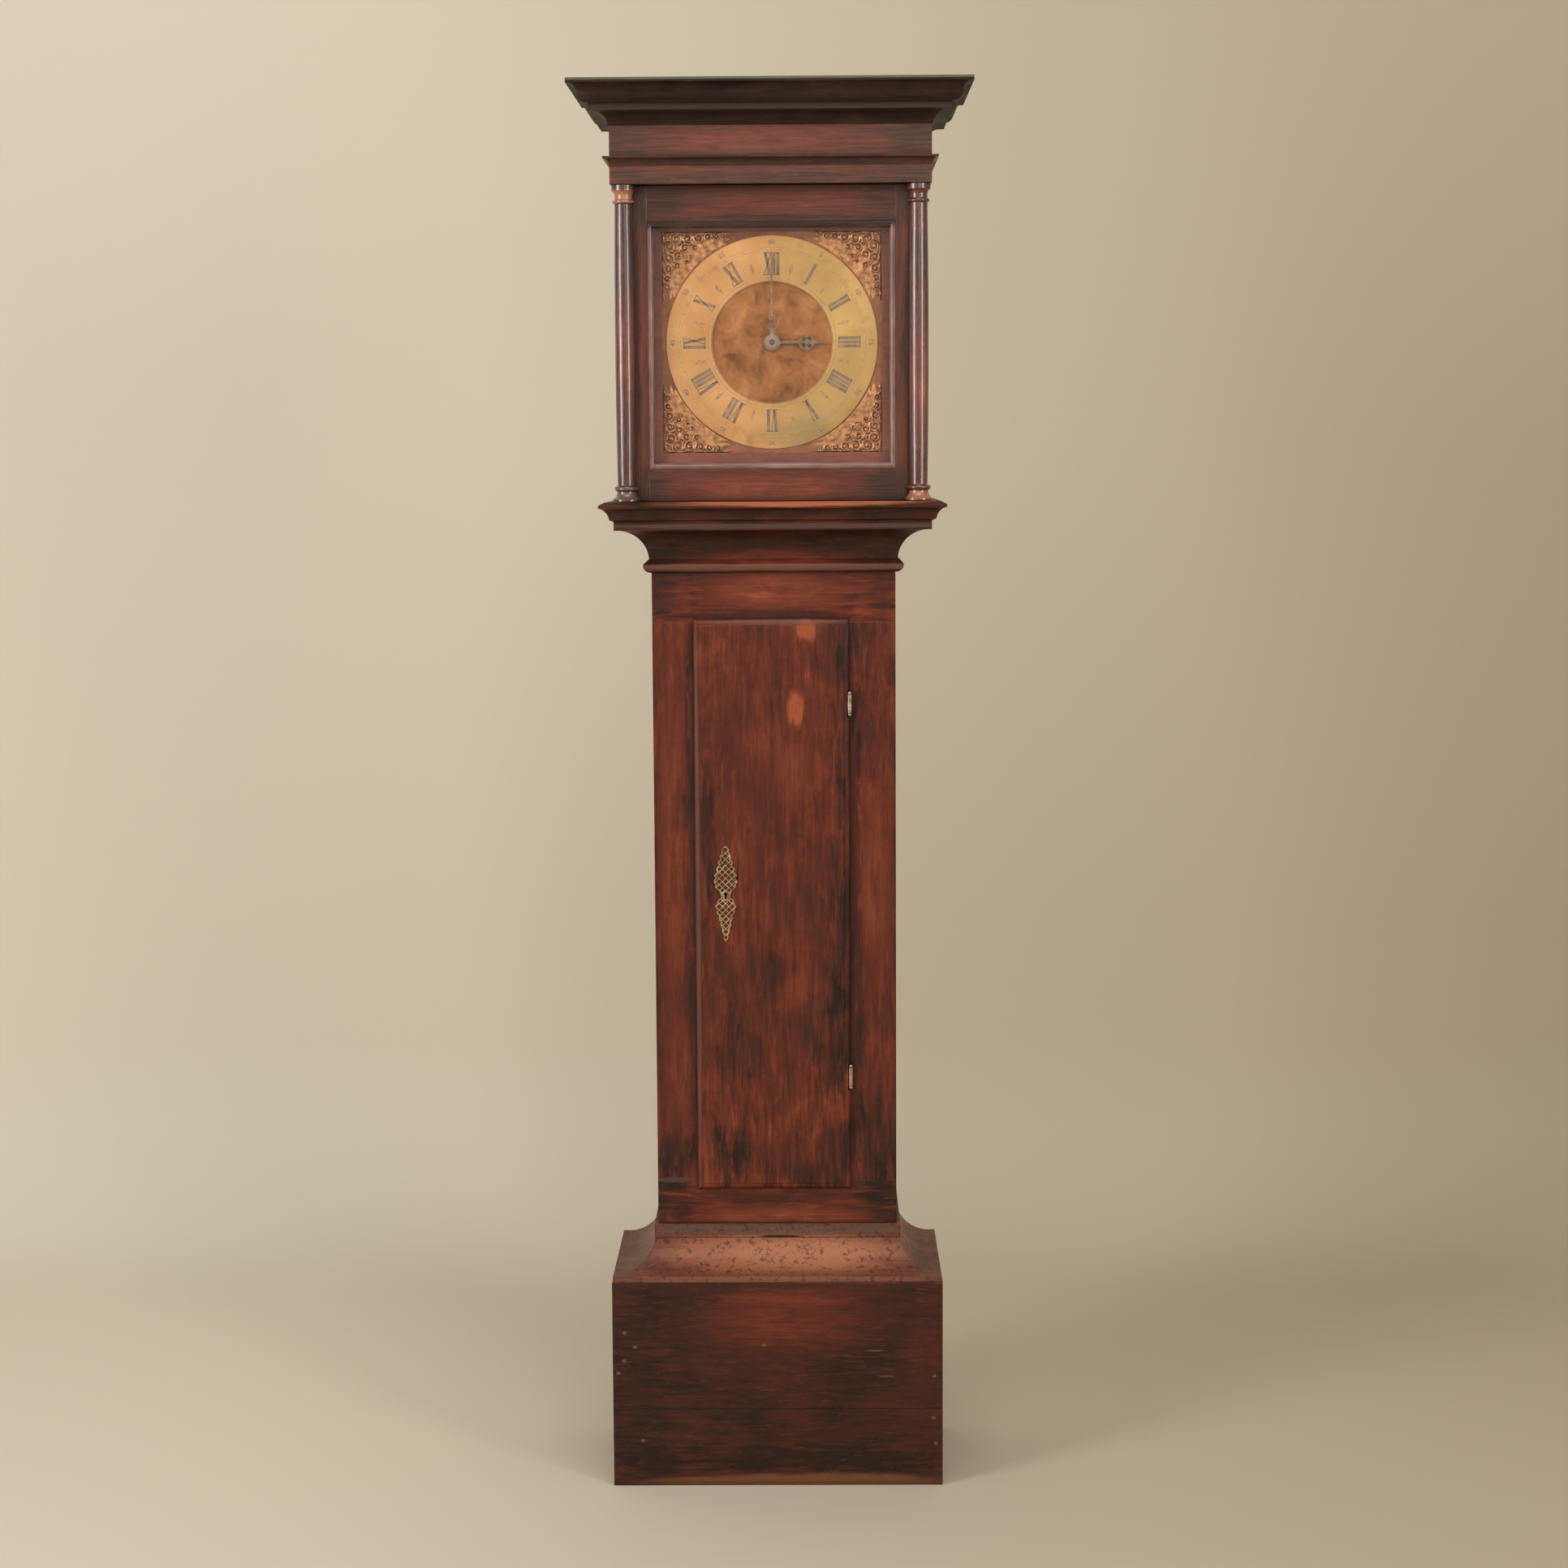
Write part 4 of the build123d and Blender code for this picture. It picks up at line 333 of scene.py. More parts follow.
trunk_low, trunk_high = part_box("trunk_front_frame")
door_low, door_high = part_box("trunk_door")
opening = (door_low.z + 0.0092, door_high.z - 0.0054)
dress(oak("oak_trunk_frame", split=("Z", *opening), seed=0.3, contrast=0.8,
          patches=[(-0.107, 0.80, 0.012, 0.38, -0.26), (0.103, 0.80, 0.013, 0.42, -0.26),
                   (0.0, 1.157, 0.20, 0.008, -0.24), (-0.163, 0.75, 0.006, 0.60, -0.22),
                   (0.163, 0.75, 0.006, 0.60, -0.22), (-0.134, 0.86, 0.018, 0.22, 0.16),
                   (-0.128, 0.55, 0.020, 0.07, 0.18), (0.132, 0.80, 0.022, 0.10, 0.20),
                   (0.13, 1.06, 0.03, 0.10, -0.12), (0.0, 1.188, 0.080, 0.026, 0.34),
                   (-0.145, 1.19, 0.02, 0.04, -0.20), (0.145, 1.19, 0.02, 0.04, -0.15),
                   (0.02, 0.349, 0.120, 0.014, 0.30), (-0.14, 0.372, 0.035, 0.03, -0.36),
                   (0.145, 0.372, 0.03, 0.04, -0.32), (0.135, 0.45, 0.03, 0.06, -0.16),
                   (-0.135, 0.43, 0.03, 0.04, -0.20)],
          marks=[(-0.132, 0.4015, 0.032, 0.0040, (0.080, 0.048, 0.034), 0.8),
                 (0.0, 0.378, 0.11, 0.010, (0.030, 0.010, 0.006), 0.55)]),
      "trunk_front_frame")

# The trunk's sides are stained as its front is. The back board, the spurs beside it, the board that
# the movement sits on and the hood's top board are plain sawn oak, unwaxed and grey with dust.
dress(oak("oak_trunk_side", shift=-0.08, seed=0.9), "trunk_sides")
sawn = [(0.22, (0.030, 0.020, 0.014)), (0.42, (0.085, 0.055, 0.034)), (0.60, (0.150, 0.100, 0.062)),
        (0.86, (0.230, 0.165, 0.110))]
dress(oak("oak_backboard", shift=-0.05, contrast=0.7, gloss=0.7, seed=1.7, edge=0.1, tones=sawn),
      "backboard", "backboard_spurs")
dress(oak("oak_seatboard", grain="X", contrast=0.7, gloss=0.7, seed=2.9, edge=0.1, tones=sawn),
      "seatboard", "hood_top_board")

# The base: a front board of two planks, joined a hand's breadth above the floor and nailed at the
# ends, between two side boards. It is the darkest part, rubbed pale along its foot.
rubbed = (0.17, 0.090, 0.060)
nails = [(-0.203, 0.209), (-0.189, 0.190), (-0.204, 0.171), (-0.212, 0.154), (0.208, 0.149), (0.207, 0.092),
         (0.210, 0.057), (-0.180, 0.062), (-0.018, 0.192)]
dress(oak("oak_base_front", grain="X", shift=-0.31, contrast=0.6, seed=0.55, edge=0.7,
          patches=[(0.01, 0.225, 0.11, 0.045, 0.38), (0.03, 0.262, 0.10, 0.014, 0.20),
                   (-0.19, 0.14, 0.04, 0.14, -0.12), (0.0, 0.035, 0.22, 0.02, -0.18)],
          marks=[(mx, mz, 0.0032, 0.0028, rubbed, 0.7) for mx, mz in nails]
          + [(0.13, 0.184, 0.013, 0.0012, rubbed, 0.6), (0.145, 0.149, 0.012, 0.0012, rubbed, 0.5),
             (0.0, 0.105, 0.30, 0.0009, (0.005, 0.003, 0.002), 0.8),
             (0.03, 0.0, 0.24, 0.018, (0.200, 0.074, 0.030), 0.8)]),
      "base_front_board")
dress(oak("oak_base_side", shift=-0.25, contrast=0.7, seed=0.75), "base_sides")

# The mouldings round the trunk's foot and throat: lengths of oak planed to their section, mitred at
# the corners and nailed on. Worm has pitted the lower one, and its cove is bleached to orange.
round_trunk = (trunk_high.x, trunk_low.y)
orange_wood = (0.37, 0.135, 0.068)
dress(oak("oak_base_moulding", grain=round_trunk, seed=1.3, edge=0.9, gloss=0.42, pits=0.6, dust_and_sheen=0.2,
          marks=[(0.012, 0.306, 0.185, 0.030, orange_wood, 0.8),
                 (0.03, 0.304, 0.11, 0.018, (0.50, 0.20, 0.095), 0.45),
                 (0.0, 0.281, 0.24, 0.006, (0.22, 0.085, 0.045), 0.7),
                 (0.0, 0.3340, 0.25, 0.0090, (0.125, 0.068, 0.045), 0.75),
                 (0.005, 0.3252, 0.034, 0.0022, (0.006, 0.004, 0.003), 0.9)]),
      "base_moulding")
dress(oak("oak_throat", grain=round_trunk, shift=-0.36, contrast=0.6, seed=1.9, edge=0.6,
          patches=[(0.0, 1.228, 0.115, 0.014, 0.55)],
          marks=[(0.0, 1.2200, 0.25, 0.0060, (0.185, 0.078, 0.056), 0.7),
                 (0.0, 1.2745, 0.30, 0.0040, (0.110, 0.056, 0.042), 0.7)]),
      "throat_moulding")

# The trunk door: one wide plank of oak with a moulded lip, streaky red and orange where it has been
# polished most and black with grime along its foot. Painted shadow darkens its right side, and
# painted highlights run down its left lip and along its top lip.
dress(oak("oak_trunk_door", shift=0.02, contrast=0.92, seed=0.1, gloss=0.36, edge=0.8,
          patches=[(0.042, 1.139, 0.018, 0.018, 0.52), (0.028, 1.034, 0.011, 0.024, 0.55),
                   (0.022, 0.945, 0.020, 0.045, 0.22), (-0.050, 0.865, 0.026, 0.050, 0.24),
                   (-0.048, 0.715, 0.010, 0.032, 0.20), (0.028, 0.700, 0.018, 0.070, 0.16),
                   # Painted shadow: the patches at x 0.092 and 0.095 darken the door's right side.
                   (0.0, 1.03, 0.06, 0.10, 0.10), (0.095, 0.99, 0.016, 0.17, -0.24),
                   (0.092, 0.70, 0.014, 0.20, -0.22), (0.080, 0.575, 0.026, 0.070, -0.30),
                   (-0.090, 0.89, 0.012, 0.11, -0.24), (-0.050, 0.575, 0.032, 0.035, -0.16),
                   (-0.068, 0.430, 0.026, 0.045, -0.36), (0.02, 0.44, 0.12, 0.050, -0.16),
                   (0.04, 0.412, 0.06, 0.018, -0.14),
                   (0.0, 1.085, 0.06, 0.02, -0.12), (0.0, 0.685, 0.02, 0.022, -0.15)],
          # Painted highlights: a pale line down the left lip and one along the top lip.
          marks=[(-0.1025, 0.77, 0.0042, 0.41, (0.150, 0.066, 0.048), 0.55),
                 (-0.004, 1.1480, 0.105, 0.0042, (0.170, 0.075, 0.055), 0.6)]),
      "trunk_door")


# The hinges: brass butts with a small ball at each end of the pin.
def brass(name, light, dark, roughness=0.32, scale=60.0, bump=0.25, crevice_shade=0.6, metallic=1.0):
    """Old brass: cloudy tarnish, painted shade darkening its corners, fine scratches in its gloss."""
    material, add = painter(name, roughness=roughness, metallic=metallic)
    where = add("TexCoord", out=3)
    cloud = noise(add, where, scale, 6.0, Roughness=0.6)
    fine = noise(add, where, scale * 14)
    colour = ramp(add, cloud, [(0.32, dark), (0.66, light)])
    # Painted shade: the colour is darkened in corners and between close parts, by how hemmed in the surface
    # is.
    if crevice_shade:
        occlusion_shade = add("AmbientOcclusion", {"Distance": 0.004}, out=1, samples=6)
        colour = blend_colour(add, sum_of(add, mask(add, occlusion_shade, 0.8, 0.3), crevice_shade), colour,
                              [0.2 * c for c in dark])
    add.wire(colour, "Base Color")
    add.wire(sum_of(add, cloud, 0.30, roughness - 0.12), "Roughness")
    rounded = add("Bevel", {"Radius": 0.0004}, samples=4)
    emboss(add, sum_of(add, fine, 0.3, cloud), 0.0003, bump, Normal=rounded)
    return material


dress(brass("furniture_brass", (0.62, 0.47, 0.33), (0.28, 0.20, 0.13), 0.40), "hinge_case_leaves",
      "hinge_door_leaves")

# The keyhole plate: thin cast brass, sawn into an openwork of crossing bars with a rosette at each
# crossing, in two pointed leaves that meet at the keyhole, and pinned to the door.
plate_low, plate_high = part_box("door_escutcheon")
plate_half = np.array([plate_high.x - plate_low.x, plate_high.z - plate_low.z]) * 500
plate_centre = (plate_low + plate_high) / 2


def keyhole_plate(across, up):
    """Height of the plate, 0 to 1, over millimetres from its centre: the largest of a rim along the
    outline, two sets of slanting bars, a rosette at each crossing and a ring round the keyhole, and 0
    outside the outline and in the keyhole."""
    outline = [(-1.0, 0.0), (-0.93, 0.18), (-0.80, 0.30), (-0.55, 0.50), (-0.32, 0.80), (-0.20, 0.84),
               (-0.08, 0.45), (0.0, 0.40), (0.07, 0.60), (0.20, 0.98), (0.34, 0.94), (0.60, 0.62),
               (0.82, 0.40), (0.93, 0.28), (1.0, 0.0)]
    at, width = np.array(outline).T
    pitch = 8.4
    lobes = 1.0 + 0.09 * np.cos(up * 2 * pi / pitch)
    inside = plate_half[0] * np.interp(up / plate_half[1], at, width) * lobes - np.abs(across)
    slant = [np.abs((across * s + up) % pitch - pitch / 2) for s in (1, -1)]
    bars = np.maximum(*[np.clip((1.15 - d) / 0.5, 0, 1) for d in slant])
    rosette = np.clip((2.1 - np.hypot(*slant)) / 0.5, 0, 1) * (0.85 + 0.15 * np.cos(4 * up))
    rim = np.clip((1.9 - np.abs(inside - 1.0)) / 0.6, 0, 1)
    key = np.minimum(np.hypot(across, up) - 2.1, np.maximum(np.abs(across) - 1.0, np.abs(up + 3) - 3.4))
    ring = np.clip((3.2 - key) / 0.6, 0, 1)
    height = np.maximum.reduce([0.72 * bars, rosette, 0.9 * rim, ring])
    return height * np.clip(inside / 0.4, 0, 1) * np.clip(key / 0.3, 0, 1)


across_grid, up_grid = np.meshgrid(np.linspace(-plate_half[0], plate_half[0], 92),
                                   np.linspace(-plate_half[1], plate_half[1], 370))
plate_relief = keyhole_plate(across_grid, up_grid)
plate_depth = np.where(plate_relief > 0.03, plate_high.y - plate_relief * (plate_high.y - plate_low.y),
                       plate_high.y + 0.0003)
plate_points = np.stack([plate_centre.x + across_grid / 1000, plate_depth,
                         plate_centre.z + up_grid / 1000], -1)
keyhole = place("keyhole_plate", grid_mesh("keyhole_plate", plate_points, back=True),
                brass("keyhole_brass", (0.66, 0.46, 0.28), (0.30, 0.19, 0.11), 0.38, 90.0, 0.3, 0.5))
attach(keyhole, "trunk_door")
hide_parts("door_escutcheon")


# Iron pieces: the lock and its bolt, the pins of the hood door, the cage of the movement, the bell's
# stand, the hammer and the rod of the pendulum. Forged or cast, black from oil and age.
def iron(name, light=(0.09, 0.085, 0.08), dark=(0.022, 0.02, 0.019), rust=(0.10, 0.042, 0.02),
         roughness=0.5, metallic=0.8):
    """Dark iron with a little rust in patches."""
    material, add = painter(name, roughness=roughness, metallic=metallic)
    where = add("TexCoord", out=3)
    cloud = noise(add, where, 45.0, 6.0, Roughness=0.65)
    grain = noise(add, where, 520.0, 3.0)
    colour = ramp(add, cloud, [(0.35, dark), (0.70, light)])
    spots = add("Math", {0: mask(add, grain, 0.56, 0.70), 1: mask(add, cloud, 0.52, 0.66)},
                operation="MULTIPLY")
    add.wire(blend_colour(add, sum_of(add, spots, 0.6), colour, rust), "Base Color")
    add.wire(sum_of(add, cloud, 0.35, roughness - 0.15), "Roughness")
    rounded = add("Bevel", {"Radius": 0.0005}, samples=4)
    emboss(add, add("Math", {0: cloud, 1: grain}, operation="ADD"), 0.0004, 0.35, Normal=rounded)
    return material


dress(iron("black_iron"), "door_lock_case", "door_lock_bolt", "hood_door_pivots", "bell_stand", "hammer",
      "pendulum_rod", "movement_frame")

# The hood's sides and rails are oak. A frieze board runs round its front and sides above the door,
# redder in the middle, with a pale haze on its wax that is part bloom and part painted sheen.
frieze_low, frieze_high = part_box("hood_frieze")
round_hood = (frieze_high.x, frieze_low.y)
dress(oak("oak_hood_side", shift=-0.12, seed=0.4), "hood_sides")
dress(oak("oak_hood_rails", grain="X", shift=-0.12, seed=0.8), "hood_front_rails")
dress(oak("oak_frieze", grain=round_hood, shift=-0.10, contrast=0.55, seed=0.65, edge=0.3, dust_and_sheen=0.24,
          patches=[(-0.02, 1.763, 0.11, 0.018, 0.32), (-0.19, 1.75, 0.030, 0.05, -0.35),
                   (0.185, 1.75, 0.04, 0.05, -0.35), (0.0, 1.715, 0.25, 0.006, -0.35)]),
      "hood_frieze")

# The cornice and the string moulding below it: mitred round the hood, black with age. Dust has
# turned the cornice's top edge grey-green.
blackened = [(0.0, (0.010, 0.0050, 0.0026)), (0.3, (0.0175, 0.0088, 0.0050)),
             (0.5, (0.027, 0.0132, 0.0080)), (0.75, (0.038, 0.0200, 0.0125)), (1.0, (0.085, 0.050, 0.034))]
dress(oak("oak_cornice", grain=round_hood, tones=blackened, contrast=0.8, seed=1.45, edge=0.7, shine=0.14,
          gloss=0.5, coat=0.0,
          marks=[(0.0, 1.8375, 0.9, 0.0040, (0.16, 0.155, 0.115), 0.75),
                 (0.0, 1.8040, 0.9, 0.0060, (0.070, 0.047, 0.036), 0.6)]),
      "hood_cornice")
dress(oak("oak_string", grain=round_hood, shift=-0.42, contrast=0.6, seed=1.15, edge=0.5, dust_and_sheen=0.08),
      "hood_string_moulding")

# The hood's ledge moulding, which slides over the throat: dark, with a painted highlight of bright
# orange along its top edge, where that edge catches the light.
ledge_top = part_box("hood_base_moulding")[1].z
dress(oak("oak_hood_ledge", grain=round_hood, shift=-0.33, contrast=0.7, seed=2.2, edge=0.8,
          marks=[(0.02, ledge_top, 0.180, 0.0070, (0.46, 0.135, 0.060), 0.9)]),
      "hood_base_moulding")

# The mask: a flat board behind the glass, cut square round the dial, stained red-brown.
dress(oak("oak_dial_mask", grain="X", shift=0.12, contrast=0.6, seed=1.6, gloss=0.5, edge=0.1, crevice_shade=0.0,
          dust_and_sheen=0.1), "dial_mask")

# The hood door: a frame of two stiles and two rails with a rounded bead round the glass. Its stiles
# are almost black, its lower rail is worn bright red in the middle.
glass_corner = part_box("hood_door_glass")[1]
inner_edge = glass_corner.x
dress(oak("oak_hood_door", split=("X", inner_edge - 0.0003, 1.0), shift=-0.20, contrast=0.75, seed=0.2,
          gloss=0.34, edge=0.4, dust_and_sheen=0.15,
          patches=[(-0.01, 1.322, 0.130, 0.021, 0.48), (-0.165, 1.325, 0.03, 0.03, -0.30),
                   (0.155, 1.325, 0.035, 0.03, -0.40), (-0.150, 1.69, 0.035, 0.04, -0.28),
                   (0.150, 1.69, 0.035, 0.04, -0.28), (0.03, 1.688, 0.12, 0.016, 0.25),
                   (-0.167, 1.50, 0.005, 0.14, 0.25), (0.168, 1.47, 0.005, 0.14, 0.12),
                   (-0.181, 1.50, 0.011, 0.25, -0.45), (0.180, 1.50, 0.012, 0.25, -0.45),
                   # Painted shade: the last patch, a thin dark line along the top of the glass opening.
                   (0.0, 1.668, 0.16, 0.004, -0.4)]),
      "hood_door_frame")
# The bead's tones are paler than the frame's: polished wax with a painted highlight, the pale line where
# the bead catches the light.
polished_and_highlit = [(0.0, (0.055, 0.026, 0.020)), (0.4, (0.125, 0.060, 0.046)), (0.65, (0.22, 0.110, 0.088)),
            (1.0, (0.36, 0.21, 0.175))]
dress(oak("oak_bead", split=("X", inner_edge - 0.008, 1.0), tones=polished_and_highlit, contrast=0.8, shift=0.05,
          seed=0.95, gloss=0.28, shine=0.5, coat=0.3, edge=0.3,
          # Painted shade: the mark darkens the bead along the top of the glass.
          marks=[(0.0, glass_corner.z, 0.30, 0.012, (0.016, 0.008, 0.006), 0.9)]), "hood_door_bead")

# The columns: turned from oak, three quarters round, glued to the door's corners and polished like
# glass. One capital and one foot have lost their stain.
bare_wood = (0.46, 0.165, 0.075)
dress(oak("oak_columns", shift=-0.12, contrast=0.9, gloss=0.24, shine=0.7, coat=0.85, seed=1.25, edge=0.7,
          patches=[(0.195, 1.46, 0.02, 0.09, 0.40), (-0.19, 1.50, 0.02, 0.08, 0.2)],
          marks=[(-0.189, 1.6945, 0.035, 0.009, bare_wood, 0.85),
                 (0.189, 1.313, 0.035, 0.008, bare_wood, 0.85),
                 (-0.189, 1.316, 0.035, 0.010, (0.17, 0.080, 0.052), 0.7)]),
      "hood_columns")

# The pane: one piece of old drawn glass, faintly uneven, puttied in behind the bead.
glass_material, add = painter("old_glass", roughness=0.02, **{"Transmission Weight": 1.0, "IOR": 1.45})
add.shader.inputs["Base Color"].default_value = (0.97, 0.99, 0.97, 1)
emboss(add, noise(add, add("TexCoord", out=3), 9.0, 1.0), 0.0006, 0.25)
let_through(add, add("LightPath", out=1))
dress(glass_material, "hood_door_glass")

# The dial plate: cast brass. Its middle is matted, punched all over, and has gone the colour of
# copper in clouds; outside the ring it is dark.
ring_low, ring_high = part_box("chapter_ring")
dial_z = (ring_low.z + ring_high.z) / 2
ring_front = ring_low.y


def round_line(add, x, z):
    """Object coordinates measured from a line along y through (x, z), and the distance from it."""
    where = add("Mapping", {"Vector": add("TexCoord", out=3), "Location": (-x, 0, -z)})
    flat = add("VectorMath", {0: where, 1: (1.0, 0.0, 1.0)}, operation="MULTIPLY")
    return where, add("VectorMath", {0: flat}, out=1, operation="LENGTH")


plate_material, add = painter("matted_brass", roughness=0.5, metallic=0.85)
where, away = round_line(add, 0, dial_z)
blotch = noise(add, where, 34.0, 8.0, Roughness=0.66, Distortion=0.6)
punched = add("TexVoronoi", {"Vector": where, "Scale": 900.0})
colour = ramp(add, blotch, [(0.32, (0.15, 0.052, 0.014)), (0.47, (0.270, 0.104, 0.030)),
                            (0.56, (0.315, 0.126, 0.040)), (0.68, (0.40, 0.18, 0.075))])
outside = ramp(add, blotch, [(0.35, (0.17, 0.062, 0.028)), (0.65, (0.32, 0.130, 0.056))])
colour = blend_colour(add, mask(add, away, 0.100, 0.101), colour, outside)
add.wire(colour, "Base Color")
add.wire(sum_of(add, blotch, 0.3, 0.38), "Roughness")
emboss(add, sum_of(add, punched, 0.8, blotch), 0.0004, 0.5)
dress(plate_material, "dial_plate")

# The chapter ring: cast brass, filed flat and lacquered. Its left side is more orange and its right
# yellower, part tarnish and part painted reflection, and its lower right has a green tarnish.
ring_material, add = painter("ring_brass", roughness=0.30, metallic=0.72)
where = round_line(add, 0, dial_z)[0]
left_right = add("SeparateXYZ", {0: where})
cloud = noise(add, where, 16.0, 6.0, Roughness=0.6)
filed = noise(add, where, 420.0)
# Orange on the left and yellow on the right: part tarnish, part painted reflection.
left_tone = ramp(add, cloud, [(0.3, (0.66, 0.31, 0.112)), (0.7, (0.78, 0.41, 0.170))])
right_tone = ramp(add, cloud, [(0.3, (0.49, 0.275, 0.092)), (0.7, (0.64, 0.39, 0.145))])
colour = blend_colour(add, mask(add, left_right, -0.05, 0.06), left_tone, right_tone)
green = spot(add, left_right, left_right.node.outputs[2], 0.045, -0.118, 0.060, 0.026,
             sum_of(add, cloud, 1.2, -0.6))
colour = blend_colour(add, sum_of(add, mask(add, green, 1.4, 0.3), 0.6), colour, (0.33, 0.225, 0.090))
stain = noise(add, where, 55.0, 4.0)
colour = blend_colour(add, sum_of(add, mask(add, stain, 0.60, 0.75), 0.4), colour, (0.36, 0.19, 0.07))
add.wire(colour, "Base Color")
add.wire(sum_of(add, cloud, 0.22, 0.20), "Roughness")
emboss(add, sum_of(add, filed, 0.3, cloud), 0.0003, 0.3)
dress(ring_material, "chapter_ring")


# The figures are cut into the ring and filled with black wax; the circles, the marks between the
# hours and the minutes are finer cuts, half worn away. Here they lie a paper's thickness on the ring.
def filling(name, dark, light):
    """Old wax filling, worn lighter in places."""
    material, add = painter(name, roughness=0.55)
    worn = noise(add, add("TexCoord", out=3), 90.0, 4.0)
    add.wire(ramp(add, worn, [(0.3, dark), (0.7, light)]), "Base Color")
    return material


wax = filling("black_wax", (0.095, 0.055, 0.030), (0.24, 0.145, 0.076))
worn_wax = filling("worn_wax", (0.20, 0.115, 0.045), (0.40, 0.24, 0.095))
wax_rise = 0.00006
figure_depth = ring_front - wax_rise


def strokes_mesh(name, quads):
    """Flat four-sided strokes as one mesh facing the front; quads is (count, 4, 2) in metres."""
    ahead, aside = quads[:, 1] - quads[:, 0], quads[:, 2] - quads[:, 0]
    turned = ahead[:, 0] * aside[:, 1] - ahead[:, 1] * aside[:, 0] > 0
    quads = np.where(turned[:, None, None], quads, quads[:, ::-1]).reshape(-1, 2)
    points = np.stack([quads[:, 0], np.full(len(quads), figure_depth), quads[:, 1]], -1)
    mesh = bpy.data.meshes.new(name)
    mesh.from_pydata(points.tolist(), [], np.arange(len(quads)).reshape(-1, 4).tolist())
    return mesh


def stroke(start, end, width):
    """One straight stroke between two points, as a quad."""
    start, end = np.array(start, float), np.array(end, float)
    side = np.array([start[1] - end[1], end[0] - start[0]])
    side = side / np.linalg.norm(side) * width / 2
    return np.array([start - side, end - side, end + side, start + side])


def numeral(text, low, high):
    """Strokes of a Roman numeral centred on x = 0 between two heights: thick and thin strokes, and one
    thin bar across the heads and one across the feet."""
    widths = {"I": 0.0052, "V": 0.0104, "X": 0.0112}
    thick, thin, bar = 0.0040, 0.0012, 0.0010
    total = sum(widths[c] for c in text)
    x = -total / 2
    strokes = []
    for c in text:
        left, right, middle = x + 0.0007, x + widths[c] - 0.0007, x + widths[c] / 2
        if c == "I":
            strokes.append(stroke((middle, low), (middle, high), thick))
        elif c == "V":
            strokes.append(stroke((left + thick / 2, high), (middle, low), thick))
            strokes.append(stroke((right - thin / 2, high), (middle, low), thin))
        else:
            strokes.append(stroke((left + thick / 2, high), (right - thick / 2, low), thick))
            strokes.append(stroke((right - thin / 2, high), (left + thin / 2, low), thin))
        x += widths[c]
    for height in (low, high):
        strokes.append(stroke((-total / 2, height), (total / 2, height), bar))
    return np.array(strokes)


def turned_strokes(strokes, hours):
    """Strokes turned clockwise about the dial's centre by a number of hours, and moved onto the dial."""
    angle = -hours * pi / 6
    spin = np.array([[np.cos(angle), np.sin(angle)], [-np.sin(angle), np.cos(angle)]])
    return strokes @ spin + np.array([0, dial_z])


def circle_strokes(radius, width, count=240):
    """A thin circle as a row of quads."""
    angle = np.linspace(0, 2 * pi, count + 1)
    inner = np.stack([np.cos(angle), np.sin(angle)], -1) * (radius - width / 2)
    outer = np.stack([np.cos(angle), np.sin(angle)], -1) * (radius + width / 2)
    return np.stack([inner[:-1], outer[:-1], outer[1:], inner[1:]], 1) + np.array([0, dial_z])


hours = ["XII", "I", "II", "III", "IIII", "V", "VI", "VII", "VIII", "IX", "X", "XI"]
hour_foot, hour_head, hour_circle = 0.0865, 0.1145, 0.0786
cuts = [turned_strokes(numeral(text, hour_foot, hour_head), i) for i, text in enumerate(hours)]
cuts.append(circle_strokes(hour_circle, 0.0008))
minute_inner, minute_outer = 0.1182, 0.1212
quarter_inner, quarter_outer = 0.0800, 0.0830
minute_tick = np.array([stroke((0, minute_inner), (0, minute_outer), 0.0008)])
quarter_tick = np.array([stroke((0, quarter_inner), (0, quarter_outer), 0.0005)])
foot, waist, tip, half = 0.0910, 0.0970, 0.1035, 0.0026
lozenge = np.array([stroke((0, foot), (half, waist), 0.0006), stroke((0, foot), (-half, waist), 0.0006),
                    stroke((half, waist), (0, tip), 0.0006), stroke((-half, waist), (0, tip), 0.0006),
                    stroke((0, 0.0925), (0, 0.1020), 0.0026), stroke((0, 0.0885), (0, 0.0912), 0.0012)])
faint = [turned_strokes(minute_tick, i / 5) for i in range(60)]
faint += [turned_strokes(quarter_tick, i / 4) for i in range(48)]
faint += [turned_strokes(lozenge, i + 0.5) for i in range(12)]
faint += [circle_strokes(radius, 0.0005) for radius in (minute_inner, minute_outer, quarter_outer)]
for name, quads, material in (("hour_figures", cuts, wax), ("fine_cuts", faint, worn_wax)):
    figures = place(name, strokes_mesh(name, np.concatenate(quads)), material)
    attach(figures, "case")


def flat_letters(text, height):
    """The outline of small figures as a flat mesh in x and y, centred, from the built-in face."""
    curve = bpy.data.curves.new("figure", "FONT")
    curve.body = text
    curve.size = height
    curve.offset = 0.00012
    curve.align_x = "CENTER"
    curve.align_y = "CENTER"
    thing = bpy.data.objects.new("figure", curve)
    scene.collection.objects.link(thing)
    bpy.context.view_layer.update()
    mesh = bpy.data.meshes.new_from_object(thing.evaluated_get(bpy.context.evaluated_depsgraph_get()))
    bpy.data.objects.remove(thing)
    return mesh


minute_height, minute_radius = 0.0088, 0.1282
for i in range(12):
    mesh = flat_letters(str(60 if i == 0 else 5 * i), minute_height)
    mesh.transform(Matrix.Translation((0, figure_depth, dial_z)) @ Matrix.Rotation(i * pi / 6, 4, "Y")
                   @ Matrix.Translation((0, 0, minute_radius)) @ Matrix.Rotation(pi / 2, 4, "X"))
    figure = place(f"minute_figure_{i}", mesh, wax)
    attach(figure, "case")

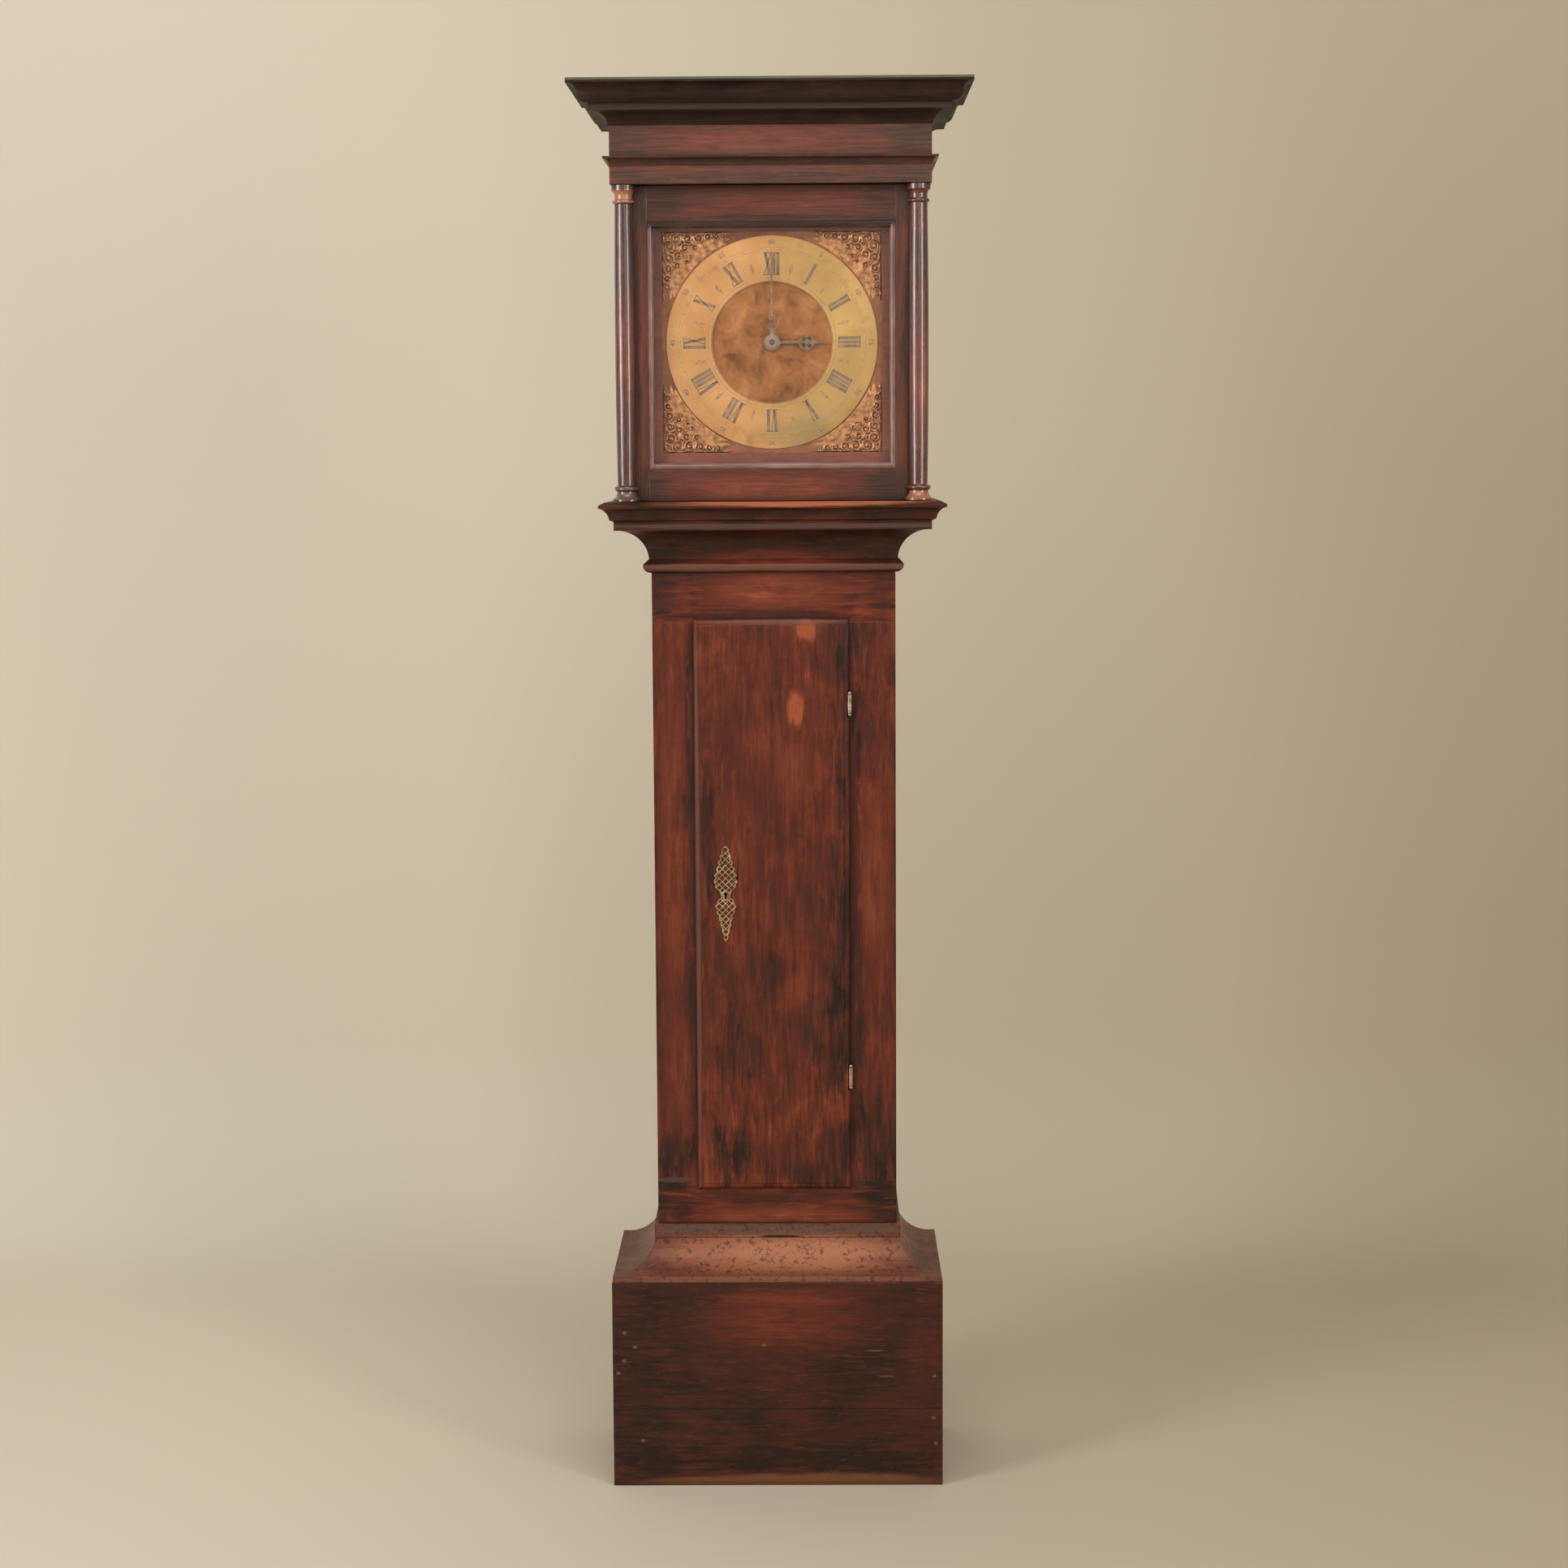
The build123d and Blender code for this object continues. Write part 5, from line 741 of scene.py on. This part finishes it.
# The four corner pieces: cast brass scrollwork with a rosette on the diagonal, pinned to the plate.
# Each is a relief whose height is the tallest of several coiled ridges, the same on both sides.
spandrel_low, spandrel_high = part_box("dial_spandrels")
spandrel_front, dial_face = spandrel_low.y, spandrel_high.y
corner_reach = spandrel_high.x
span_mm = 90.0


def coil(u, v, centre, start, growth, turns, width, spin, begin):
    """Height of a ridge along a coil whose radius grows evenly with its angle, thinning towards its eye."""
    du, dv = u - centre[0], v - centre[1]
    rho, phi = np.hypot(du, dv), (spin * np.arctan2(dv, du) - begin) % (2 * pi)
    best = np.zeros_like(u)
    for k in range(int(np.ceil(turns)) + 1):
        angle = phi + 2 * pi * k
        line = start + growth * angle / (2 * pi)
        ridge = np.clip(1 - ((rho - line) / (width * (0.55 + 0.45 * angle / (2 * pi * turns)))) ** 2, 0, 1)
        best = np.maximum(best, np.where(angle <= 2 * pi * turns, np.sqrt(ridge), 0))
    eye = np.clip(1 - (rho / (start * 1.25)) ** 2, 0, 1)
    return np.maximum(best, 1.15 * np.sqrt(eye))


def leaf(u, v, root, tip, width):
    """Height of a pointed leaf from root to tip with a sunk midrib."""
    du, dv = tip[0] - root[0], tip[1] - root[1]
    length = np.hypot(du, dv)
    along = ((u - root[0]) * du + (v - root[1]) * dv) / length ** 2
    across = ((v - root[1]) * du - (u - root[0]) * dv) / length
    half = width * np.sqrt(np.clip(along * (1 - along) * 4, 0, 1)) * (1.25 - 0.7 * along) + 1e-6
    body = np.clip(1 - (across / half) ** 2, 0, 1)
    rib = 1 - 0.45 * np.exp(-(across / (0.18 * width)) ** 2)
    return np.where((along > 0) & (along < 1), np.sqrt(body) * rib, 0)


def spandrel_heights(u, v):
    """Relief of one corner, 0 to 1, over distances u and v from the two outer edges, in millimetres."""
    a, b = np.maximum(u, v), np.minimum(u, v)
    coils = [((19, 9), 2.0, 4.4, 1.55, 1.7, 1, 0.8), ((34, 8.5), 1.8, 4.0, 1.5, 1.6, -1, 2.2),
             ((48, 7.6), 1.6, 3.7, 1.4, 1.5, 1, 1.0), ((60.5, 6.3), 1.4, 3.1, 1.35, 1.3, -1, 2.0),
             ((71, 5.2), 1.2, 2.7, 1.2, 1.2, 1, 0.6), ((80, 4.0), 0.9, 2.1, 1.1, 1.0, -1, 2.4),
             ((30, 21), 1.5, 3.4, 1.4, 1.4, 1, 3.0), ((43, 19.5), 1.2, 2.9, 1.2, 1.2, -1, 4.0),
             ((36.5, 31.5), 1.1, 2.4, 1.1, 1.1, 1, 1.5)]
    height = np.maximum.reduce([coil(a, b, *shape) for shape in coils])
    leaves = [((3, 3), (13, 13), 3.4), ((5, 3), (15, 2.2), 1.9), ((24, 3.2), (31, 15), 2.0),
              ((38, 3), (44, 14), 1.8), ((51, 2.8), (56, 11.5), 1.6), ((64, 2.4), (67, 9.0), 1.3),
              ((26, 2.8), (38, 2.2), 1.4), ((41, 2.4), (53, 2.0), 1.3), ((55, 2.2), (68, 1.9), 1.1),
              ((74, 2.2), (88, 2.0), 1.1), ((23, 12), (27, 16), 1.5), ((29, 28), (38, 38), 2.2)]
    height = np.maximum.reduce([height] + [leaf(a, b, *shape) for shape in leaves])
    rho, phi = np.hypot(u - 22, v - 22), np.arctan2(v - 22, u - 22)
    petals = np.clip((6.4 + 0.9 * np.cos(6 * phi) - rho) / 2.5, 0, 1) * (0.8 + 0.2 * np.cos(6 * phi))
    heart = 1.25 * np.sqrt(np.clip(1 - (rho / 2.6) ** 2, 0, 1))
    return np.maximum.reduce([height, petals, heart])


steps = 210
u_grid, v_grid = np.meshgrid(np.linspace(0, span_mm, steps), np.linspace(0, span_mm, steps))
relief = spandrel_heights(u_grid, v_grid)
ground = 0.20 + 0.08 * np.sin(u_grid * 2.9 + 1.3 * np.sin(v_grid * 2.1)) * np.sin(v_grid * 3.3)
ground_end, ragged_by = 84, 5
ends = ground_end - np.maximum(u_grid, v_grid) + ragged_by * np.sin(0.8 * np.minimum(u_grid, v_grid))
ground = ground * np.clip(ends / 8, 0, 1)
clear_of_ring = 138.2
ring_gap = np.hypot(corner_reach * 1000 - u_grid, corner_reach * 1000 - v_grid) - clear_of_ring
shape_edge = np.clip(ring_gap / 1.2, 0, 1)
for distance in (u_grid, v_grid, span_mm - u_grid, span_mm - v_grid):
    shape_edge = shape_edge * np.clip(distance / 0.8, 0, 1)
joined = np.clip(np.maximum(relief, ground) * shape_edge, 0, 1.0)
sunk_in_plate = -0.0002
rise = np.where(joined > 0.02, joined * (dial_face - spandrel_front - 0.0001), sunk_in_plate)
spandrel_brass = brass("spandrel_brass", (0.66, 0.33, 0.145), (0.25, 0.090, 0.036), 0.33, 170.0, 0.6, 0.95,
                       0.85)
for name, side_x, side_z in (("spandrel_upper_right", 1, 1), ("spandrel_upper_left", -1, 1),
                             ("spandrel_lower_left", -1, -1), ("spandrel_lower_right", 1, -1)):
    points = np.stack([side_x * (corner_reach - u_grid / 1000), dial_face - rise,
                       dial_z + side_z * (corner_reach - v_grid / 1000)], -1)
    if side_x * side_z > 0:
        points = points[:, ::-1]
    spandrel = place(name, grid_mesh(name, points[::-1], back=True), spandrel_brass)
    if name == "spandrel_upper_right":
        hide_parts("dial_spandrels")
    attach(spandrel, "case")

# The hands: steel, sawn out and filed, once blued and now grey-brown. The hub is rubbed bright round
# the dark end of its pin.
hand_material, add = painter("grey_steel", roughness=0.38, metallic=0.6)
where, away = round_line(add, 0, dial_z)
cloud = noise(add, where, 120.0, 4.0)
colour = ramp(add, cloud, [(0.3, (0.13, 0.078, 0.050)), (0.7, (0.28, 0.180, 0.120))])
colour = blend_colour(add, sum_of(add, mask(add, away, 0.0125, 0.0105), 0.75), colour, (0.34, 0.24, 0.175))
colour = blend_colour(add, mask(add, away, 0.0040, 0.0032), colour, (0.12, 0.06, 0.03))
add.wire(colour, "Base Color")
rounded = add("Bevel", {"Radius": 0.0005}, samples=4)
emboss(add, cloud, 0.0002, 0.3, Normal=rounded)
dress(hand_material, "minute_hand", "hour_hand")


# The wheels of both trains and of the motion work: brass, cast, filed and crossed out, on arbors of
# bright steel. One finish turns from brass to steel near each arbor.
def wheel_finish(node, steel_radius):
    """Brass with turned rings outside steel_radius from the arbor's line, and steel inside it."""
    low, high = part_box(node)
    x, z = (low.x + high.x) / 2, (low.z + high.z) / 2
    material, add = painter("finish_" + node, roughness=0.3, metallic=1.0)
    where, away = round_line(add, x, z)
    cloud = noise(add, where, 70.0, 4.0)
    rings = noise(add, add("CombineXYZ", {0: away, 1: 0.0, 2: 0.0}), 2400.0)
    yellow = ramp(add, cloud, [(0.3, (0.42, 0.28, 0.11)), (0.7, (0.64, 0.46, 0.20))])
    grey = ramp(add, cloud, [(0.3, (0.20, 0.19, 0.18)), (0.7, (0.36, 0.35, 0.34))])
    colour = blend_colour(add, mask(add, away, steel_radius, steel_radius + 0.0002), grey, yellow)
    add.wire(colour, "Base Color")
    add.wire(sum_of(add, cloud, 0.3, 0.16), "Roughness")
    emboss(add, rings, 0.0001, 0.2)
    return material


for node, steel in (("centre_wheel", 0.0078), ("going_great_wheel", 0.0035), ("third_wheel", 0.0043),
                    ("escape_wheel", 0.0035), ("strike_great_wheel", 0.0047), ("strike_pulley", 0.0),
                    ("hoop_wheel", 0.004), ("warning_wheel", 0.0033), ("fly", 0.003),
                    ("count_wheel", 0.0), ("cannon_wheel", 0.0036), ("hour_wheel", 0.0036),
                    ("minute_wheel", 0.0033)):
    dress(wheel_finish(node, steel), node)

# The other brass of the works: the bars that hold the pivots, the pendulum's cock, and the pulley and
# stirrup of the weight. The bell is paler metal, and the pallets are bright steel.
dress(brass("works_brass", (0.60, 0.43, 0.19), (0.36, 0.24, 0.10), 0.34, 50.0, 0.2, 0.3), "movement_bars",
      "pendulum_cock", "weight_pulley", "weight_stirrup")
dress(brass("bell_metal", (0.42, 0.34, 0.20), (0.24, 0.18, 0.10), 0.30, 30.0, 0.15, 0.3), "bell")
dress(iron("bright_steel", (0.38, 0.37, 0.36), (0.20, 0.19, 0.185), (0.14, 0.08, 0.05), 0.34, 1.0),
      "pallet_anchor")

# The weights and the bob are cast lead, grey with a skin of oxide.
dress(iron("cast_lead", (0.22, 0.22, 0.225), (0.10, 0.10, 0.105), (0.30, 0.29, 0.27), 0.58, 0.55),
      "weight", "ring_weight", "pendulum_bob")

# The rope: three strands of hemp laid together, one endless loop over both pulleys, with the weight
# in its right-hand bight and the ring weight in its left-hand one.
rope_low, rope_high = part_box("rope")
pulley_radius = 0.030
rope_radius = (rope_high.x - rope_low.x - 2 * pulley_radius) / 2
pulley_top = rope_high.z - pulley_radius - rope_radius
front_y, back_y = rope_low.y + rope_radius, rope_high.y - rope_radius
rope_material, add = painter("hemp_rope", roughness=0.85, **{"Sheen Weight": 0.2})
where = add("TexCoord", out=3)
fuzz = noise(add, where, 900.0, 4.0)
soil = noise(add, where, 30.0, 3.0)
rope_colour = ramp(add, fuzz, [(0.3, (0.15, 0.10, 0.055)), (0.7, (0.42, 0.32, 0.20))])
add.wire(blend_colour(add, mask(add, soil, 0.45, 0.65), rope_colour, (0.13, 0.09, 0.055)), "Base Color")
emboss(add, fuzz, 0.0006, 0.6)


lay_length, line_step = 0.022, 0.0025


def laid_rope(name, line, side):
    """Three-strand rope along a line of points: at each point the radius swells and sinks three times
    round, and the pattern turns once in a lay's length. side is a direction across the whole line."""
    ahead = np.gradient(line, axis=0)
    ahead /= np.linalg.norm(ahead, axis=1)[:, None]
    first = np.tile(np.array(side, float), (len(line), 1))
    second = np.cross(ahead, first)
    run = np.concatenate([[0], np.cumsum(np.linalg.norm(np.diff(line, axis=0), axis=1))])
    around = np.linspace(0, 2 * pi, 16, endpoint=False)
    strand = np.abs(np.cos(1.5 * (around[None, :] - 2 * pi * run[:, None] / lay_length)))
    radius = rope_radius * (0.80 + 0.18 * strand)
    points = (line[:, None] + radius[..., None] * (np.cos(around)[None, :, None] * first[:, None]
                                                  + np.sin(around)[None, :, None] * second[:, None]))
    return place(name, grid_mesh(name, points, wrap=True), rope_material)


def bight(x, low_z):
    """Line of one hanging loop: down the front strand, round a half circle and up the back strand."""
    down = np.linspace(pulley_top, low_z, int((pulley_top - low_z) / line_step))
    angle = np.linspace(0, pi, 30)
    middle, arc_radius = (front_y + back_y) / 2, (back_y - front_y) / 2
    arc = np.stack([np.full(30, x), middle - arc_radius * np.cos(angle),
                    low_z - arc_radius * np.sin(angle)], -1)
    front = np.stack([np.full(len(down), x), np.full(len(down), front_y), down], -1)
    return np.concatenate([front[:-1], arc, (front[::-1] + np.array([0, back_y - front_y, 0]))[1:]])


sheave_low, sheave_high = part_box("weight_pulley")
sheave_z = (sheave_low.z + sheave_high.z) / 2
ring_bight_z = rope_low.z + rope_radius + (back_y - front_y) / 2
for name, x, low_z, body in (("rope_weight_side", pulley_radius, sheave_z, "weight"),
                             ("rope_ring_side", -pulley_radius, ring_bight_z, "ring_weight")):
    loop = laid_rope(name, bight(x, low_z), (1, 0, 0))
    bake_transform(loop)
    if body == "weight":
        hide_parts("rope")
for name, y in (("rope_over_going_pulley", front_y), ("rope_over_striking_pulley", back_y)):
    angle = np.linspace(pi, 0, 48)
    over = np.stack([pulley_radius * np.cos(angle), np.full(48, y),
                     pulley_top + pulley_radius * np.sin(angle)], -1)
    loop = laid_rope(name, over, (0, 1, 0))
    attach(loop, "case")
